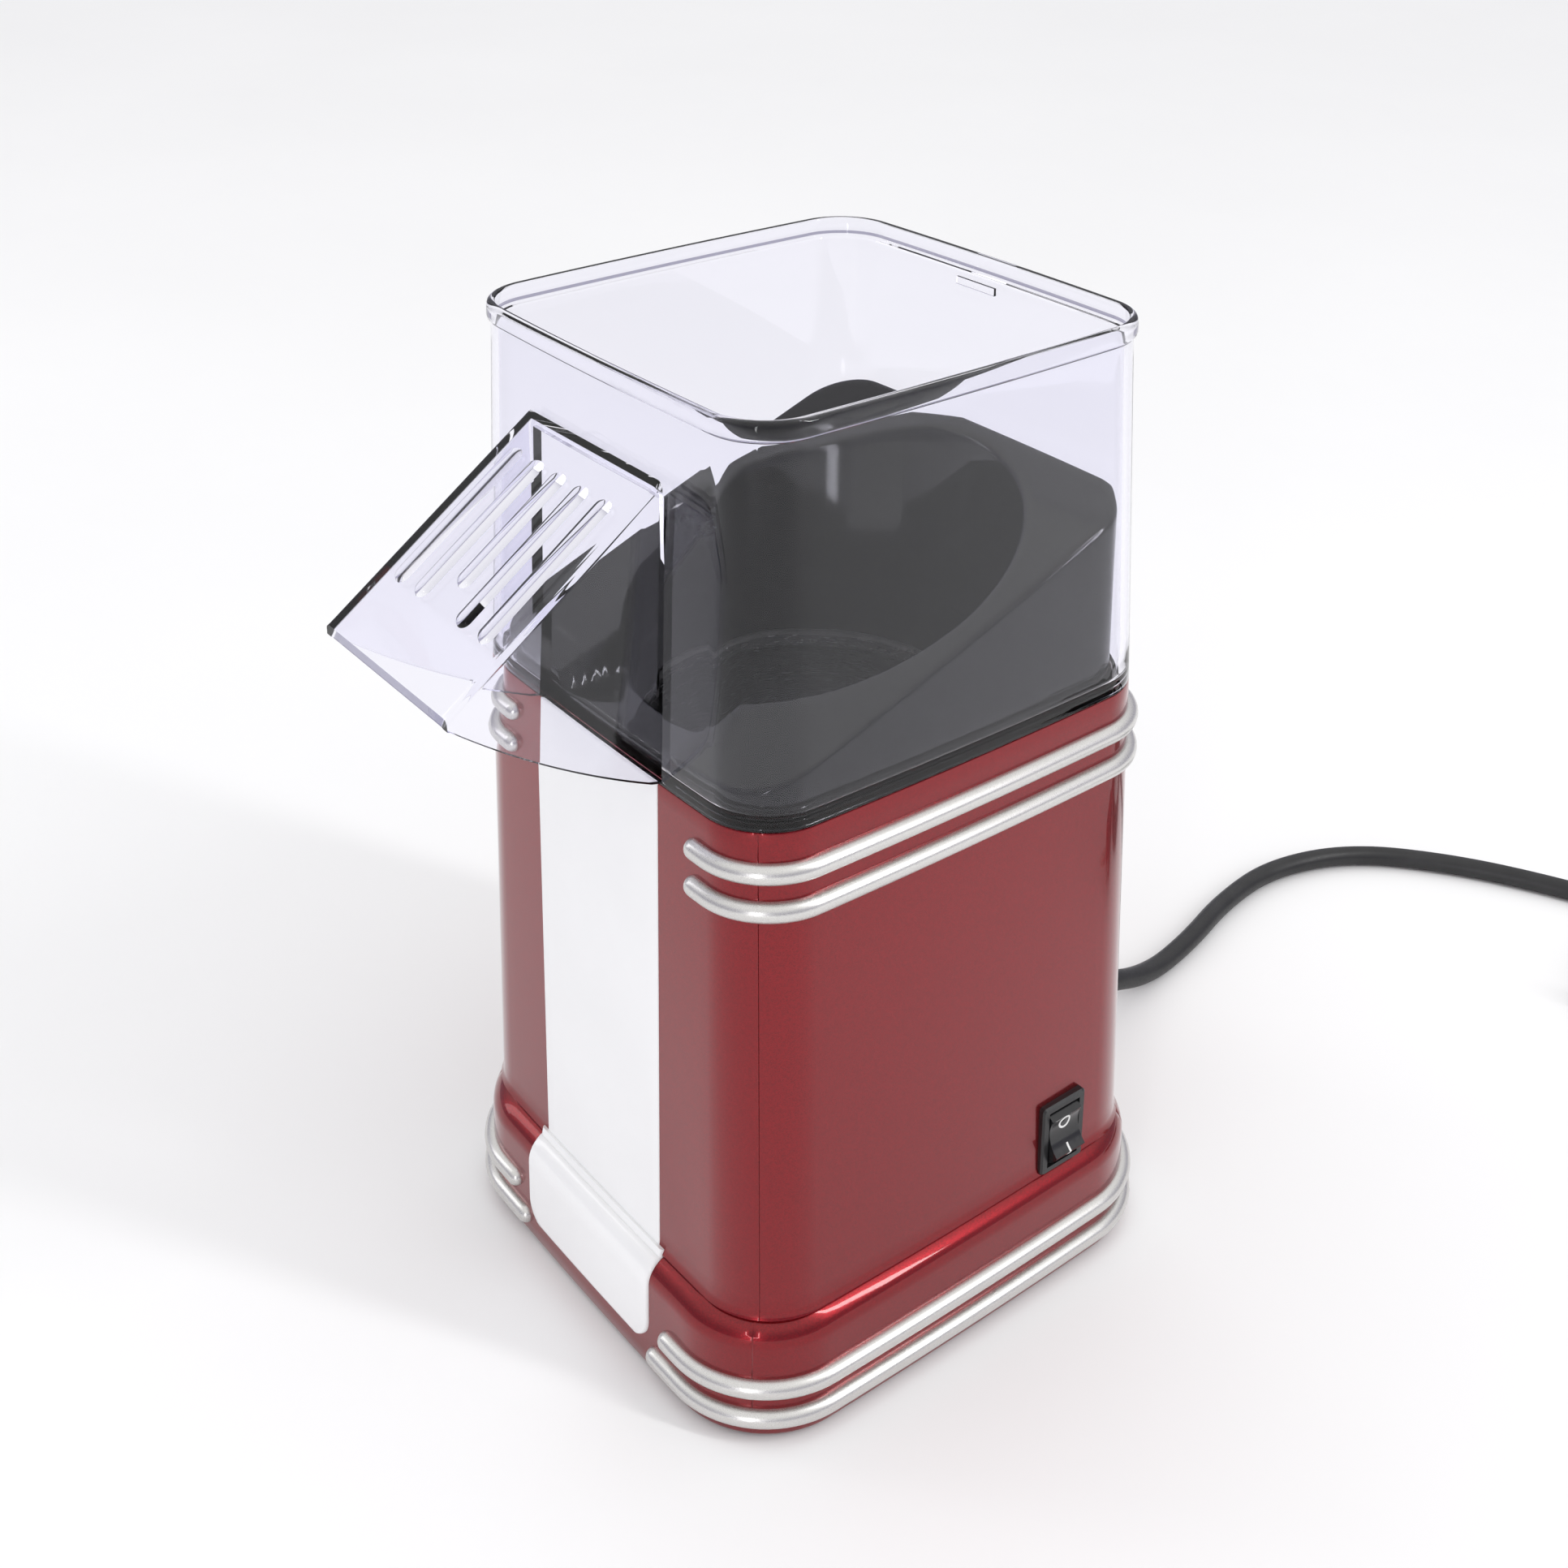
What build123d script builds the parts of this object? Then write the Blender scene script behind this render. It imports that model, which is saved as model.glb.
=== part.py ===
from build123d import *

import math
import os

# Hot-air popcorn maker. Millimetres, +Z up, standing on z = 0.
# Every shape is drawn about the tower's own vertical axis, with the spout towards -Y and
# the rocker switch on the +X side, and is moved to the row's origin when it is written.
# The row's origin is under the middle of the object's length, spout tip to rear trim bar.

# Driving dimensions of the outside
TOTAL_H = 260.0
TOWER_TOP_Z = 166.0
TOWER_FOOT_Z = 34.0
BASE_BOTTOM_Z = 1.5
TOP_HALF = (61.8, 63.6)
FOOT_HALF = (65.0, 66.4)
TOP_CORNER = 16.5
FOOT_CORNER = 18.0
CROWN = 1.2
WALL = 2.2
BASE_HALF = (68.5, 72.0)
BASE_TOP_HALF = (67.8, 71.2)
BASE_CORNER = 25.0
SHOULDER_R = 7.0

# Silver trim bars
BAR_R = 2.6
UPPER_BAR_ZS = (156.0, 146.4)
BASE_BAR_ZS = (15.8, 7.0)
UPPER_BAR_START_X = 40.0
BASE_BAR_START_XS = (36.0, 31.0)

# White front strip and the plate below it
STRIP_HALF_W = 26.0
STRIP_T = 1.2
STRIP_PROUD = 0.2
PLATE_HALF_W = 28.0
PLATE_BOTTOM_Z = 8.5
PLATE_CORNER = 7.0

# Clear hood with its spout
HOOD_WALL = 2.2
HOOD_TOP_HALF = (57.5, 60.0)
HOOD_TOP_CORNER = 13.5
RIM_H = 4.5
RIM_PROUD = 1.0
HOOD_LIP_H = 8.0
HOOD_LIP_T = 1.2
HOOD_LIP_GAP = 0.3
SPOUT_HALF_W = 27.5
SPOUT_TOP_Z = 240.0
SPOUT_TIP_Y = -115.5
SPOUT_TIP_Z = 201.0
SPOUT_WALL = 2.0
RIB_XS = (-18.4, -9.2, 0.0, 9.2, 18.4)
RIB_R = 2.4
RIB_H = 1.8
RIB_START = 10.0
RIB_L = 36.0
GATE_DROP = 5.0
SPOUT_ROOT_Y = -58.0
SPOUT_CURVE_MIDDLE = (-95.0, 183.5)
HOOD_TRAVEL = 60.0

# Black funnel
FUNNEL_HALF = (56.8, 58.8)
FUNNEL_CORNER = 13.0
FUNNEL_T = 2.0
FUNNEL_FRONT_Z = 171.5
FUNNEL_BACK_Z = 215.5
FUNNEL_BOTTOM_Z = 152.0
WELL_TOP_R = 50.0
MOUTH_R = 43.0
CHANNEL_HALF_W = 24.0
LIP_Z = 167.4
LEDGE_Z = 155.0

# Popping chamber, duct and heater
CHAMBER_R = 43.0
CHAMBER_T = 0.8
CHAMBER_TOP_Z = 150.8
CHAMBER_BOTTOM_Z = 82.0
SLOT_COUNT = 12
DUCT_R = 48.0
DUCT_T = 1.0
DUCT_BOTTOM_Z = 62.0
DUCT_TOP_Z = 150.0
DUCT_FLANGE_R = 57.5
DUCT_SCREW_R = 53.7
HEATER_Z = 72.0
COIL_RINGS = (22.0, 30.0, 38.0)
COIL_WIRE_R = 1.5

# Fan and motor
FAN_HOUSING_Z = 36.0
FAN_HOUSING_R = 51.0
BRACKET_Z = 38.0
IMPELLER_Z = 44.0
IMPELLER_R = 36.0
BLADE_COUNT = 9
MOTOR_R = 13.8
MOTOR_BOTTOM_Z = 12.0
SHAFT_R = 1.5
SHAFT_CLEAR = 0.05

# Floor plate, feet and screws
PLATE_Z = 2.0
PLATE_T = 2.5
FOOT_XY = (50.0, 52.0)
BOSS_XY = (59.0, 28.0)
SCREW_R = 1.5

# Rocker switch on the +X face
SWITCH_Y = 33.0
SWITCH_Z = 44.8
SWITCH_SEAT_X = 63.9
BEZEL = (2.2, 15.0, 21.0)
SWITCH_BODY = (14.0, 12.8, 19.0)
ROCKER_R = 8.4
ROCKER_W = 10.2
ROCKER_OFF_DEG = 11.0
ROCKER_PIVOT_X = 61.6
ROCKER_PIN_R = 1.2

# Mains cord
CORD_R = 3.25
CORD_EXIT_Z = 14.0
GLAND_END_Y = 100.0
CORD_ROUTE = (
    (0.0, 100.0, 14.0),
    (0.0, 116.0, 14.0),
    (-2.0, 141.0, 3.4),
    (-6.0, 166.0, 3.4),
    (-14.0, 192.0, 3.4),
    (-17.0, 221.0, 3.4),
    (-6.0, 251.0, 3.4),
    (20.0, 273.5, 3.4),
    (49.0, 289.5, 3.4),
    (80.0, 302.0, 3.4),
    (109.5, 313.0, 3.4),
)
COIL_CENTRE = (124.0, 278.0)
COIL_MEAN_R = 35.75
COIL_SECTION = (13.4, 13.0)
COIL_LIFT = 0.8
TAIL_X = 166.0
TAIL_Y = 262.0
PLUG_Z = 8.6
PLUG_PIN_GAP = 19.0
PLUG_PIN_R = 2.4
PLUG_PIN_L = 19.0

SPOUT_REACH = -SPOUT_TIP_Y
BACK_REACH = 74.21
AXIS_Y = (SPOUT_REACH - BACK_REACH) / 2.0


def outline(half_x, half_y, corner, z, crown=CROWN):
    """A rounded rectangle with slightly bowed sides, lying at height z."""
    px = half_x - crown
    py = half_y - crown
    with BuildSketch(Plane.XY.offset(z)) as sketch:
        with BuildLine():
            ThreePointArc((-px, -py), (0, -half_y), (px, -py))
            ThreePointArc((px, -py), (half_x, 0), (px, py))
            ThreePointArc((px, py), (0, half_y), (-px, py))
            ThreePointArc((-px, py), (-half_x, 0), (-px, -py))
        make_face()
        fillet(sketch.vertices(), corner)
    return sketch.sketch


def block(low, high):
    """A solid between two outlines, each given as half x, half y, corner radius, z."""
    return loft([outline(*low), outline(*high)])


def tower_size(z, grow=0.0):
    """The tower's outline at height z, grown outwards."""
    t = (z - TOWER_FOOT_Z) / (TOWER_TOP_Z - TOWER_FOOT_Z)
    half_x = FOOT_HALF[0] + (TOP_HALF[0] - FOOT_HALF[0]) * t
    half_y = FOOT_HALF[1] + (TOP_HALF[1] - FOOT_HALF[1]) * t
    corner = FOOT_CORNER + (TOP_CORNER - FOOT_CORNER) * t
    return (half_x + grow, half_y + grow, corner + grow, z)


def tower_block(z0, z1, grow=0.0):
    return block(tower_size(z0, grow), tower_size(z1, grow))


def base_size(z, grow=0.0):
    """The base skirt's outline at height z, grown outwards."""
    t = (z - BASE_BOTTOM_Z) / (TOWER_FOOT_Z - BASE_BOTTOM_Z)
    half_x = BASE_HALF[0] + (BASE_TOP_HALF[0] - BASE_HALF[0]) * t
    half_y = BASE_HALF[1] + (BASE_TOP_HALF[1] - BASE_HALF[1]) * t
    return (half_x + grow, half_y + grow, BASE_CORNER + grow, z)


def base_block(grow=0.0, bottom=BASE_BOTTOM_Z):
    """The flared base: a skirt whose upper edge is a rounded shoulder."""
    top = TOWER_FOOT_Z + grow
    skirt = block(base_size(bottom, grow), base_size(top, grow))
    rim = skirt.edges().group_by(Axis.Z)[-1]
    return fillet(rim, SHOULDER_R)


def hood_size(z, grow=0.0):
    """The hood's outer outline at height z: flush with the tower below, narrower above."""
    t = (z - TOWER_TOP_Z) / (TOTAL_H - TOWER_TOP_Z)
    half_x = TOP_HALF[0] + (HOOD_TOP_HALF[0] - TOP_HALF[0]) * t
    half_y = TOP_HALF[1] + (HOOD_TOP_HALF[1] - TOP_HALF[1]) * t
    corner = TOP_CORNER + (HOOD_TOP_CORNER - TOP_CORNER) * t
    return (half_x + grow, half_y + grow, corner + grow, z)


def hood_block(z0, z1, grow=0.0):
    return block(hood_size(z0, grow), hood_size(z1, grow))


def bar_ring(size, z):
    """A round bar laid along the whole outline at height z, centred on the surface."""
    path = outline(size[0], size[1], size[2], z).faces()[0].outer_wire()
    start = path @ 0
    plane = Plane(origin=start, z_dir=path % 0)
    return sweep(plane * Circle(BAR_R), path=path)


def body_side(half_x_start, side):
    """The part of space beside the middle: |x| over the start, on one side."""
    width = 100.0
    return Pos(side * (half_x_start + width / 2), 0, 0) * Box(width, 200, 600)


def group(pieces):
    """Several separate solids in one node."""
    return Compound([solid for piece in pieces for solid in piece.solids()])


def outer_shell_solid():
    return tower_block(20.0, TOWER_TOP_Z) + base_block()


def upper_bars(side):
    """Two bars near the tower's top, from the front face round the side to the back face."""
    bars = []
    for z in UPPER_BAR_ZS:
        bar = bar_ring(tower_size(z), z) & body_side(UPPER_BAR_START_X, side)
        bars.append(bar - tower_block(z - 8, z + 8))
    return group(bars)


def base_bars(side):
    """Two bars on the skirt, from the front face round the side to the back face."""
    bars = []
    for z, start in zip(BASE_BAR_ZS, BASE_BAR_START_XS):
        bar = bar_ring(base_size(z), z) & body_side(start, side)
        bars.append(bar - base_block())
    return group(bars)


def strip_solid():
    """The front strip's room: a thin layer of the tower's front face."""
    front = tower_block(TOWER_FOOT_Z - 6, TOWER_TOP_Z, STRIP_PROUD)
    inner = tower_block(TOWER_FOOT_Z - 8, TOWER_TOP_Z + 1, STRIP_PROUD - STRIP_T)
    height = TOWER_TOP_Z - TOWER_FOOT_Z - 0.4
    window = Pos(0, -60, TOWER_FOOT_Z + 0.4 + height / 2) * Box(2 * STRIP_HALF_W, 30, height)
    return (front - inner) & window


def plate_solid():
    """The white plate that wraps the base's shoulder below the strip."""
    outer = base_block(STRIP_PROUD)
    inner = base_block(STRIP_PROUD - STRIP_T, BASE_BOTTOM_Z - 1) + tower_block(16, 60, 0.0)
    height = TOWER_FOOT_Z + 10 - PLATE_BOTTOM_Z
    with BuildSketch(Plane.XZ) as face:
        with Locations((0, PLATE_BOTTOM_Z + height / 2)):
            Rectangle(2 * PLATE_HALF_W, height)
        lower = face.vertices().group_by(Axis.Z)[0]
        fillet(lower, PLATE_CORNER)
    window = extrude(face.sketch, amount=100, both=True) & (Pos(0, -75, 20) * Box(120, 60, 60))
    return (outer - inner) & window


def housing_bosses():
    """Screw bosses for the floor plate, grown from the side walls."""
    bosses = Part()
    for sx in (-1, 1):
        for sy in (-1, 1):
            x = sx * BOSS_XY[0]
            y = sy * BOSS_XY[1]
            low = PLATE_Z + PLATE_T
            bosses += Pos(x, y, low + 20) * Cylinder(4.5, 40)
            bosses -= Pos(x, y, low + 8) * Cylinder(SCREW_R + 0.1, 16)
    return bosses


def body_housing():
    shell = outer_shell_solid()
    room = tower_block(10.0, TOWER_TOP_Z + 2, -WALL)
    skirt_room = block(base_size(0.0, -WALL), base_size(24.0, -WALL))
    shell = shell - room - skirt_room
    ledge = tower_block(LEDGE_Z - 2.5, LEDGE_Z, -WALL + 0.5) - tower_block(LEDGE_Z - 4, LEDGE_Z + 1, -WALL - 3.2)
    shell = shell + ledge
    shell = shell + (housing_bosses() & outer_shell_solid())
    shell = shell - strip_solid() - plate_solid()
    seat = Pos(SWITCH_SEAT_X + 5, SWITCH_Y, SWITCH_Z) * Box(10, BEZEL[1] + 0.3, BEZEL[2] + 0.3)
    hole = Pos(SWITCH_SEAT_X - 4, SWITCH_Y, SWITCH_Z) * Box(12, SWITCH_BODY[1] + 0.3, SWITCH_BODY[2] + 0.3)
    gland_hole = Pos(0, BASE_HALF[1], CORD_EXIT_Z) * Rot(90, 0, 0) * Cylinder(5.6, 14)
    return shell - seat - hole - gland_hole


def spout_line(y):
    """Height of the spout's top plate at a place in front of the hood."""
    wall_y = -hood_size(SPOUT_TOP_Z)[1]
    return SPOUT_TOP_Z + (SPOUT_TIP_Z - SPOUT_TOP_Z) * (y - wall_y) / (SPOUT_TIP_Y - wall_y)


def spout_cheek_profile():
    """One cheek seen from the side: sloping top, curved lower edge, upright at the hood."""
    top_back = (SPOUT_ROOT_Y, spout_line(SPOUT_ROOT_Y))
    tip = (SPOUT_TIP_Y, SPOUT_TIP_Z)
    tip_low = (SPOUT_TIP_Y, SPOUT_TIP_Z - SPOUT_WALL)
    foot = (-TOP_HALF[1] + 0.4, TOWER_TOP_Z)
    root = (SPOUT_ROOT_Y, TOWER_TOP_Z)
    with BuildSketch(Plane.YZ) as side:
        with BuildLine():
            Line(top_back, tip)
            Line(tip, tip_low)
            ThreePointArc(tip_low, SPOUT_CURVE_MIDDLE, foot)
            Line(foot, root)
            Line(root, top_back)
        make_face()
    return side.sketch


def spout_plate_profile():
    """The sloping top plate seen from the side."""
    drop = SPOUT_WALL / math.cos(spout_slope())
    with BuildSketch(Plane.YZ) as side:
        with BuildLine():
            Polyline(
                (SPOUT_ROOT_Y, spout_line(SPOUT_ROOT_Y)),
                (SPOUT_TIP_Y, SPOUT_TIP_Z),
                (SPOUT_TIP_Y, SPOUT_TIP_Z - drop),
                (SPOUT_ROOT_Y, spout_line(SPOUT_ROOT_Y) - drop),
                (SPOUT_ROOT_Y, spout_line(SPOUT_ROOT_Y)),
            )
        make_face()
    return side.sketch


def spout_slope():
    wall_y = -hood_size(SPOUT_TOP_Z)[1]
    return math.atan2(SPOUT_TOP_Z - SPOUT_TIP_Z, wall_y - SPOUT_TIP_Y)


def spout_ribs():
    """Five long rounded ribs raised on the spout's top plate."""
    slope = spout_slope()
    middle_y = -hood_size(SPOUT_TOP_Z)[1] - RIB_START - RIB_L / 2 * math.cos(slope)
    ribs = []
    for x in RIB_XS:
        middle = (x, middle_y, spout_line(middle_y) + RIB_H - RIB_R)
        plane = Plane(origin=middle, x_dir=(1, 0, 0), z_dir=(0, -math.cos(slope), -math.sin(slope)))
        bar = Cylinder(RIB_R, RIB_L) + Pos(0, 0, RIB_L / 2) * Sphere(RIB_R) + Pos(0, 0, -RIB_L / 2) * Sphere(RIB_R)
        ribs.append(plane * bar)
    return ribs


def spout():
    """Top plate with its ribs, and two cheeks; open below and in front."""
    plate = extrude(spout_plate_profile(), amount=SPOUT_HALF_W - 0.5, both=True)
    for rib in spout_ribs():
        plate = plate + rib
    drop = SPOUT_WALL / math.cos(spout_slope())
    under = []
    for y in (SPOUT_ROOT_Y + 1, SPOUT_TIP_Y - 5):
        under.append((y, spout_line(y) - drop))
    with BuildSketch(Plane.YZ) as side:
        with BuildLine():
            Polyline(under[0], under[1], (under[1][0], 150.0), (under[0][0], 150.0), under[0])
        make_face()
    plate = plate - extrude(side.sketch, amount=60, both=True)
    cheek = extrude(spout_cheek_profile(), amount=SPOUT_WALL)
    right = Pos(SPOUT_HALF_W - SPOUT_WALL, 0, 0) * cheek
    left = Pos(-SPOUT_HALF_W, 0, 0) * cheek
    return plate + right + left


def hood():
    shell = hood_block(TOWER_TOP_Z, TOTAL_H - RIM_H) + hood_block(TOTAL_H - RIM_H, TOTAL_H, RIM_PROUD)
    shell = shell - hood_block(TOWER_TOP_Z - 1, TOTAL_H + 1, -HOOD_WALL)
    inset = WALL + HOOD_LIP_GAP
    lip_low = TOWER_TOP_Z - HOOD_LIP_H
    lip_outer = tower_size(TOWER_TOP_Z, -inset)[:3]
    lip_inner = tower_size(TOWER_TOP_Z, -inset - HOOD_LIP_T)[:3]
    lip = block((*lip_outer, lip_low), (*lip_outer, TOWER_TOP_Z)) + hood_block(TOWER_TOP_Z, TOWER_TOP_Z + 3, -1.0)
    lip = lip - block((*lip_inner, lip_low - 1), (*lip_inner, TOWER_TOP_Z + 4))
    shell = shell + lip
    gate_w = 2 * (SPOUT_HALF_W - SPOUT_WALL)
    gate_top = SPOUT_TOP_Z - GATE_DROP
    gate_low = lip_low - 2
    shell = shell - Pos(0, -60, (gate_top + gate_low) / 2) * Box(gate_w, 30, gate_top - gate_low)
    room = hood_block(TOWER_TOP_Z - 4, TOTAL_H + 1, -HOOD_WALL / 2)
    return shell + (spout() - room)


def funnel_slope(y):
    reach = 2 * FUNNEL_HALF[1]
    return FUNNEL_FRONT_Z + (FUNNEL_BACK_Z - FUNNEL_FRONT_Z) * (y + FUNNEL_HALF[1]) / reach


def below_slope(drop=0.0):
    """Everything under the funnel's sloping top."""
    y0 = -80.0
    y1 = 80.0
    with BuildSketch(Plane.YZ) as side:
        with BuildLine():
            Polyline(
                (y0, 140.0),
                (y1, 140.0),
                (y1, funnel_slope(y1) - drop),
                (y0, funnel_slope(y0) - drop),
                (y0, 140.0),
            )
        make_face()
    return extrude(side.sketch, amount=80, both=True)


def cone(grow, z0, z1):
    """The round well, wider towards its top."""
    rise = (WELL_TOP_R - MOUTH_R) / 45.0
    low = MOUTH_R + rise * (z0 - FUNNEL_BOTTOM_Z) + grow
    high = MOUTH_R + rise * (z1 - FUNNEL_BOTTOM_Z) + grow
    return Pos(0, 0, (z0 + z1) / 2) * Cone(low, high, z1 - z0)


def channel(grow, floor_z):
    """The way forward from the well to the spout."""
    return Pos(0, -50, floor_z + 30) * Box(2 * (CHANNEL_HALF_W + grow), 100, 60)


def funnel():
    size = (FUNNEL_HALF[0], FUNNEL_HALF[1], FUNNEL_CORNER)
    outer = block((*size, LEDGE_Z), (*size, 230.0)) & below_slope()
    inner_size = tuple(value - FUNNEL_T for value in size)
    room = block((*inner_size, LEDGE_Z - 1), (*inner_size, 229.0)) & below_slope(FUNNEL_T)
    well_wall = cone(FUNNEL_T, FUNNEL_BOTTOM_Z, 222.0) & below_slope()
    channel_wall = channel(FUNNEL_T, LIP_Z - FUNNEL_T) & outer
    shell = (outer - room) + well_wall + channel_wall
    flange = tower_block(LEDGE_Z, LEDGE_Z + 2, -WALL - 0.4)
    shell = shell + (flange - cone(0.5, LEDGE_Z - 1, LEDGE_Z + 3))
    bosses = [Pos(x, y, 160) * Cylinder(3.6, 20) for x, y in duct_screw_places()]
    for boss in bosses:
        shell = shell + boss
    shell = shell - cone(0.0, FUNNEL_BOTTOM_Z - 3, 225.0)
    shell = shell - channel(0.0, LIP_Z)
    lip_plate = Pos(0, -60.2, LIP_Z - 0.7) * Box(2 * CHANNEL_HALF_W + 2, 6.4, 1.4)
    shell = shell + lip_plate
    for x, y in duct_screw_places():
        shell = shell - Pos(x, y, 156) * Cylinder(SCREW_R + 0.1, 13)
    return shell


def duct_screw_places():
    step = DUCT_SCREW_R / math.sqrt(2)
    return [(sx * step, sy * step) for sx in (-1, 1) for sy in (-1, 1)]


def chamber():
    """The popping cup, with slanting air slots round its foot and a flange at its mouth."""
    outer = Pos(0, 0, (CHAMBER_TOP_Z + CHAMBER_BOTTOM_Z) / 2) * Cylinder(CHAMBER_R, CHAMBER_TOP_Z - CHAMBER_BOTTOM_Z)
    outer = fillet(outer.edges().group_by(Axis.Z)[0], 8.0)
    depth = CHAMBER_TOP_Z - CHAMBER_BOTTOM_Z
    room = Pos(0, 0, CHAMBER_BOTTOM_Z + CHAMBER_T + depth / 2) * Cylinder(CHAMBER_R - CHAMBER_T, depth)
    room = fillet(room.edges().group_by(Axis.Z)[0], 7.2)
    flange = Pos(0, 0, CHAMBER_TOP_Z - CHAMBER_T / 2) * Cylinder(49.0, CHAMBER_T)
    cup = outer + flange - room
    for i in range(SLOT_COUNT):
        slot = Box(8, 1.6, 14)
        cup = cup - Rot(0, 0, 360 / SLOT_COUNT * i) * Pos(CHAMBER_R, 0, 100) * Rot(35, 0, 0) * slot
    dome = Pos(0, 0, CHAMBER_BOTTOM_Z + CHAMBER_T + 1.5) * Cone(16, 4, 3)
    return cup + dome


def chamber_seal():
    z = (CHAMBER_TOP_Z + FUNNEL_BOTTOM_Z) / 2
    height = FUNNEL_BOTTOM_Z - CHAMBER_TOP_Z
    return Pos(0, 0, z) * (Cylinder(45.0, height) - Cylinder(43.0, height))


def duct_sleeve():
    """The tin sleeve that carries hot air up round the chamber."""
    height = DUCT_TOP_Z - DUCT_BOTTOM_Z
    tube = Pos(0, 0, DUCT_BOTTOM_Z + height / 2) * (Cylinder(DUCT_R, height) - Cylinder(DUCT_R - DUCT_T, height))
    flange = Pos(0, 0, DUCT_TOP_Z - 0.5) * (Cylinder(DUCT_FLANGE_R, 1.0) - Cylinder(DUCT_R - DUCT_T, 1.0))
    sleeve = tube + flange
    for x, y in duct_screw_places():
        sleeve = sleeve - Pos(x, y, DUCT_TOP_Z) * Cylinder(SCREW_R + 0.2, 6)
    return sleeve


def screw(x, y, head_z, length, up=True):
    """A pan-head screw; the shank points up from the head unless up is False."""
    sign = 1 if up else -1
    head = Pos(x, y, head_z - sign * 0.9) * Cylinder(3.0, 1.8)
    shank = Pos(x, y, head_z + sign * length / 2) * Cylinder(SCREW_R, length)
    cross = Pos(x, y, head_z - sign * 1.5) * (Box(3.4, 0.7, 0.8) + Box(0.7, 3.4, 0.8))
    return head + shank - cross


def duct_screws():
    parts = [screw(x, y, DUCT_TOP_Z - 1.0, 9.0) for x, y in duct_screw_places()]
    return group(parts)


def heater_frame():
    """Two crossed mica boards, halved into each other, with holes for the heating coil."""
    height = 16.0
    long_board = Box(92, 0.8, height)
    cross_board = Box(0.8, 92, height)
    long_board = long_board - Pos(0, 0, height / 4) * Box(0.9, 2, height / 2)
    cross_board = cross_board - Pos(0, 0, -height / 4) * Box(2, 0.9, height / 2)
    for radius in COIL_RINGS:
        for side in (-1, 1):
            long_board = long_board - Pos(side * radius, 0, 0) * Rot(90, 0, 0) * Cylinder(COIL_WIRE_R + 0.2, 4)
            cross_board = cross_board - Pos(0, side * radius, 0) * Rot(0, 90, 0) * Cylinder(COIL_WIRE_R + 0.2, 4)
    place = Pos(0, 0, HEATER_Z)
    return group([place * long_board, place * cross_board])


def heater_coil():
    return group([Pos(0, 0, HEATER_Z) * Torus(radius, COIL_WIRE_R) for radius in COIL_RINGS])


def thermostat():
    can = Rot(0, 90, 0) * Cylinder(8.0, 5.0)
    tabs = Pos(4, 0, 4.5) * Box(5, 5, 0.8) + Pos(4, 0, -4.5) * Box(5, 5, 0.8)
    return Pos(-DUCT_R - 2.8, 0, 110) * Rot(0, 0, 180) * (can + tabs)


def thermal_fuse():
    body = Rot(90, 0, 0) * Cylinder(2.0, 10)
    leads = Rot(90, 0, 0) * Cylinder(0.5, 26)
    return Pos(DUCT_R + 2.3, 0, 96) * (body + leads)


def fan_housing():
    """The plastic drum round the fan, open below for air and above into the sleeve."""
    top = DUCT_BOTTOM_Z + 6
    drum = Pos(0, 0, (FAN_HOUSING_Z + top) / 2) * Cylinder(FAN_HOUSING_R, top - FAN_HOUSING_Z)
    room = Pos(0, 0, FAN_HOUSING_Z + 2 + 20) * Cylinder(DUCT_R - 2.0, 40)
    seat = Pos(0, 0, DUCT_BOTTOM_Z + 5) * Cylinder(DUCT_R + 0.1, 10)
    inlet = Pos(0, 0, FAN_HOUSING_Z) * Cylinder(34.0, 10)
    return drum - room - seat - inlet


def motor_bracket():
    """A steel spider across the fan's inlet that carries the motor."""
    ring = Cylinder(16.0, 1.6) - Cylinder(4.0, 1.6)
    spider = ring
    for angle in (45, 135, 225, 315):
        spider = spider + Rot(0, 0, angle) * Pos(27, 0, 0) * Box(34, 8, 1.6)
    spider = spider - Cylinder(4.0, 2)
    for angle in (0, 180):
        spider = spider - Rot(0, 0, angle) * Pos(8.0, 0, 0) * Cylinder(1.7, 4)
    for angle in (45, 135, 225, 315):
        spider = spider - Rot(0, 0, angle) * Pos(40.0, 0, 0) * Cylinder(1.7, 4)
    return Pos(0, 0, BRACKET_Z + 0.8) * spider


def bracket_screws():
    places = [(40 * math.cos(math.radians(a)), 40 * math.sin(math.radians(a))) for a in (45, 135, 225, 315)]
    parts = []
    for x, y in places:
        parts.append(Pos(x, y, BRACKET_Z + 1.6 + 0.7) * Cylinder(2.8, 1.4))
    return group(parts)


def motor_can():
    height = BRACKET_Z - MOTOR_BOTTOM_Z
    can = Pos(0, 0, MOTOR_BOTTOM_Z + height / 2) * Cylinder(MOTOR_R, height)
    can = fillet(can.edges().group_by(Axis.Z)[-1], 1.5)
    collar = Pos(0, 0, BRACKET_Z + 1.0) * Cylinder(3.0, 2.0)
    bore = Pos(0, 0, BRACKET_Z - 10) * Cylinder(SHAFT_R + SHAFT_CLEAR, 60)
    return can + collar - bore


def motor_end_cap():
    cap = Pos(0, 0, MOTOR_BOTTOM_Z - 1.25) * Cylinder(MOTOR_R - 1, 2.5)
    tabs = Pos(0, 9.5, MOTOR_BOTTOM_Z - 3.0) * Box(3, 0.8, 5) + Pos(0, -9.5, MOTOR_BOTTOM_Z - 3.0) * Box(3, 0.8, 5)
    return cap + tabs


def motor_screws():
    parts = [Pos(side * 8.0, 0, BRACKET_Z + 1.6 + 0.6) * Cylinder(2.2, 1.2) for side in (-1, 1)]
    return group(parts)


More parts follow.
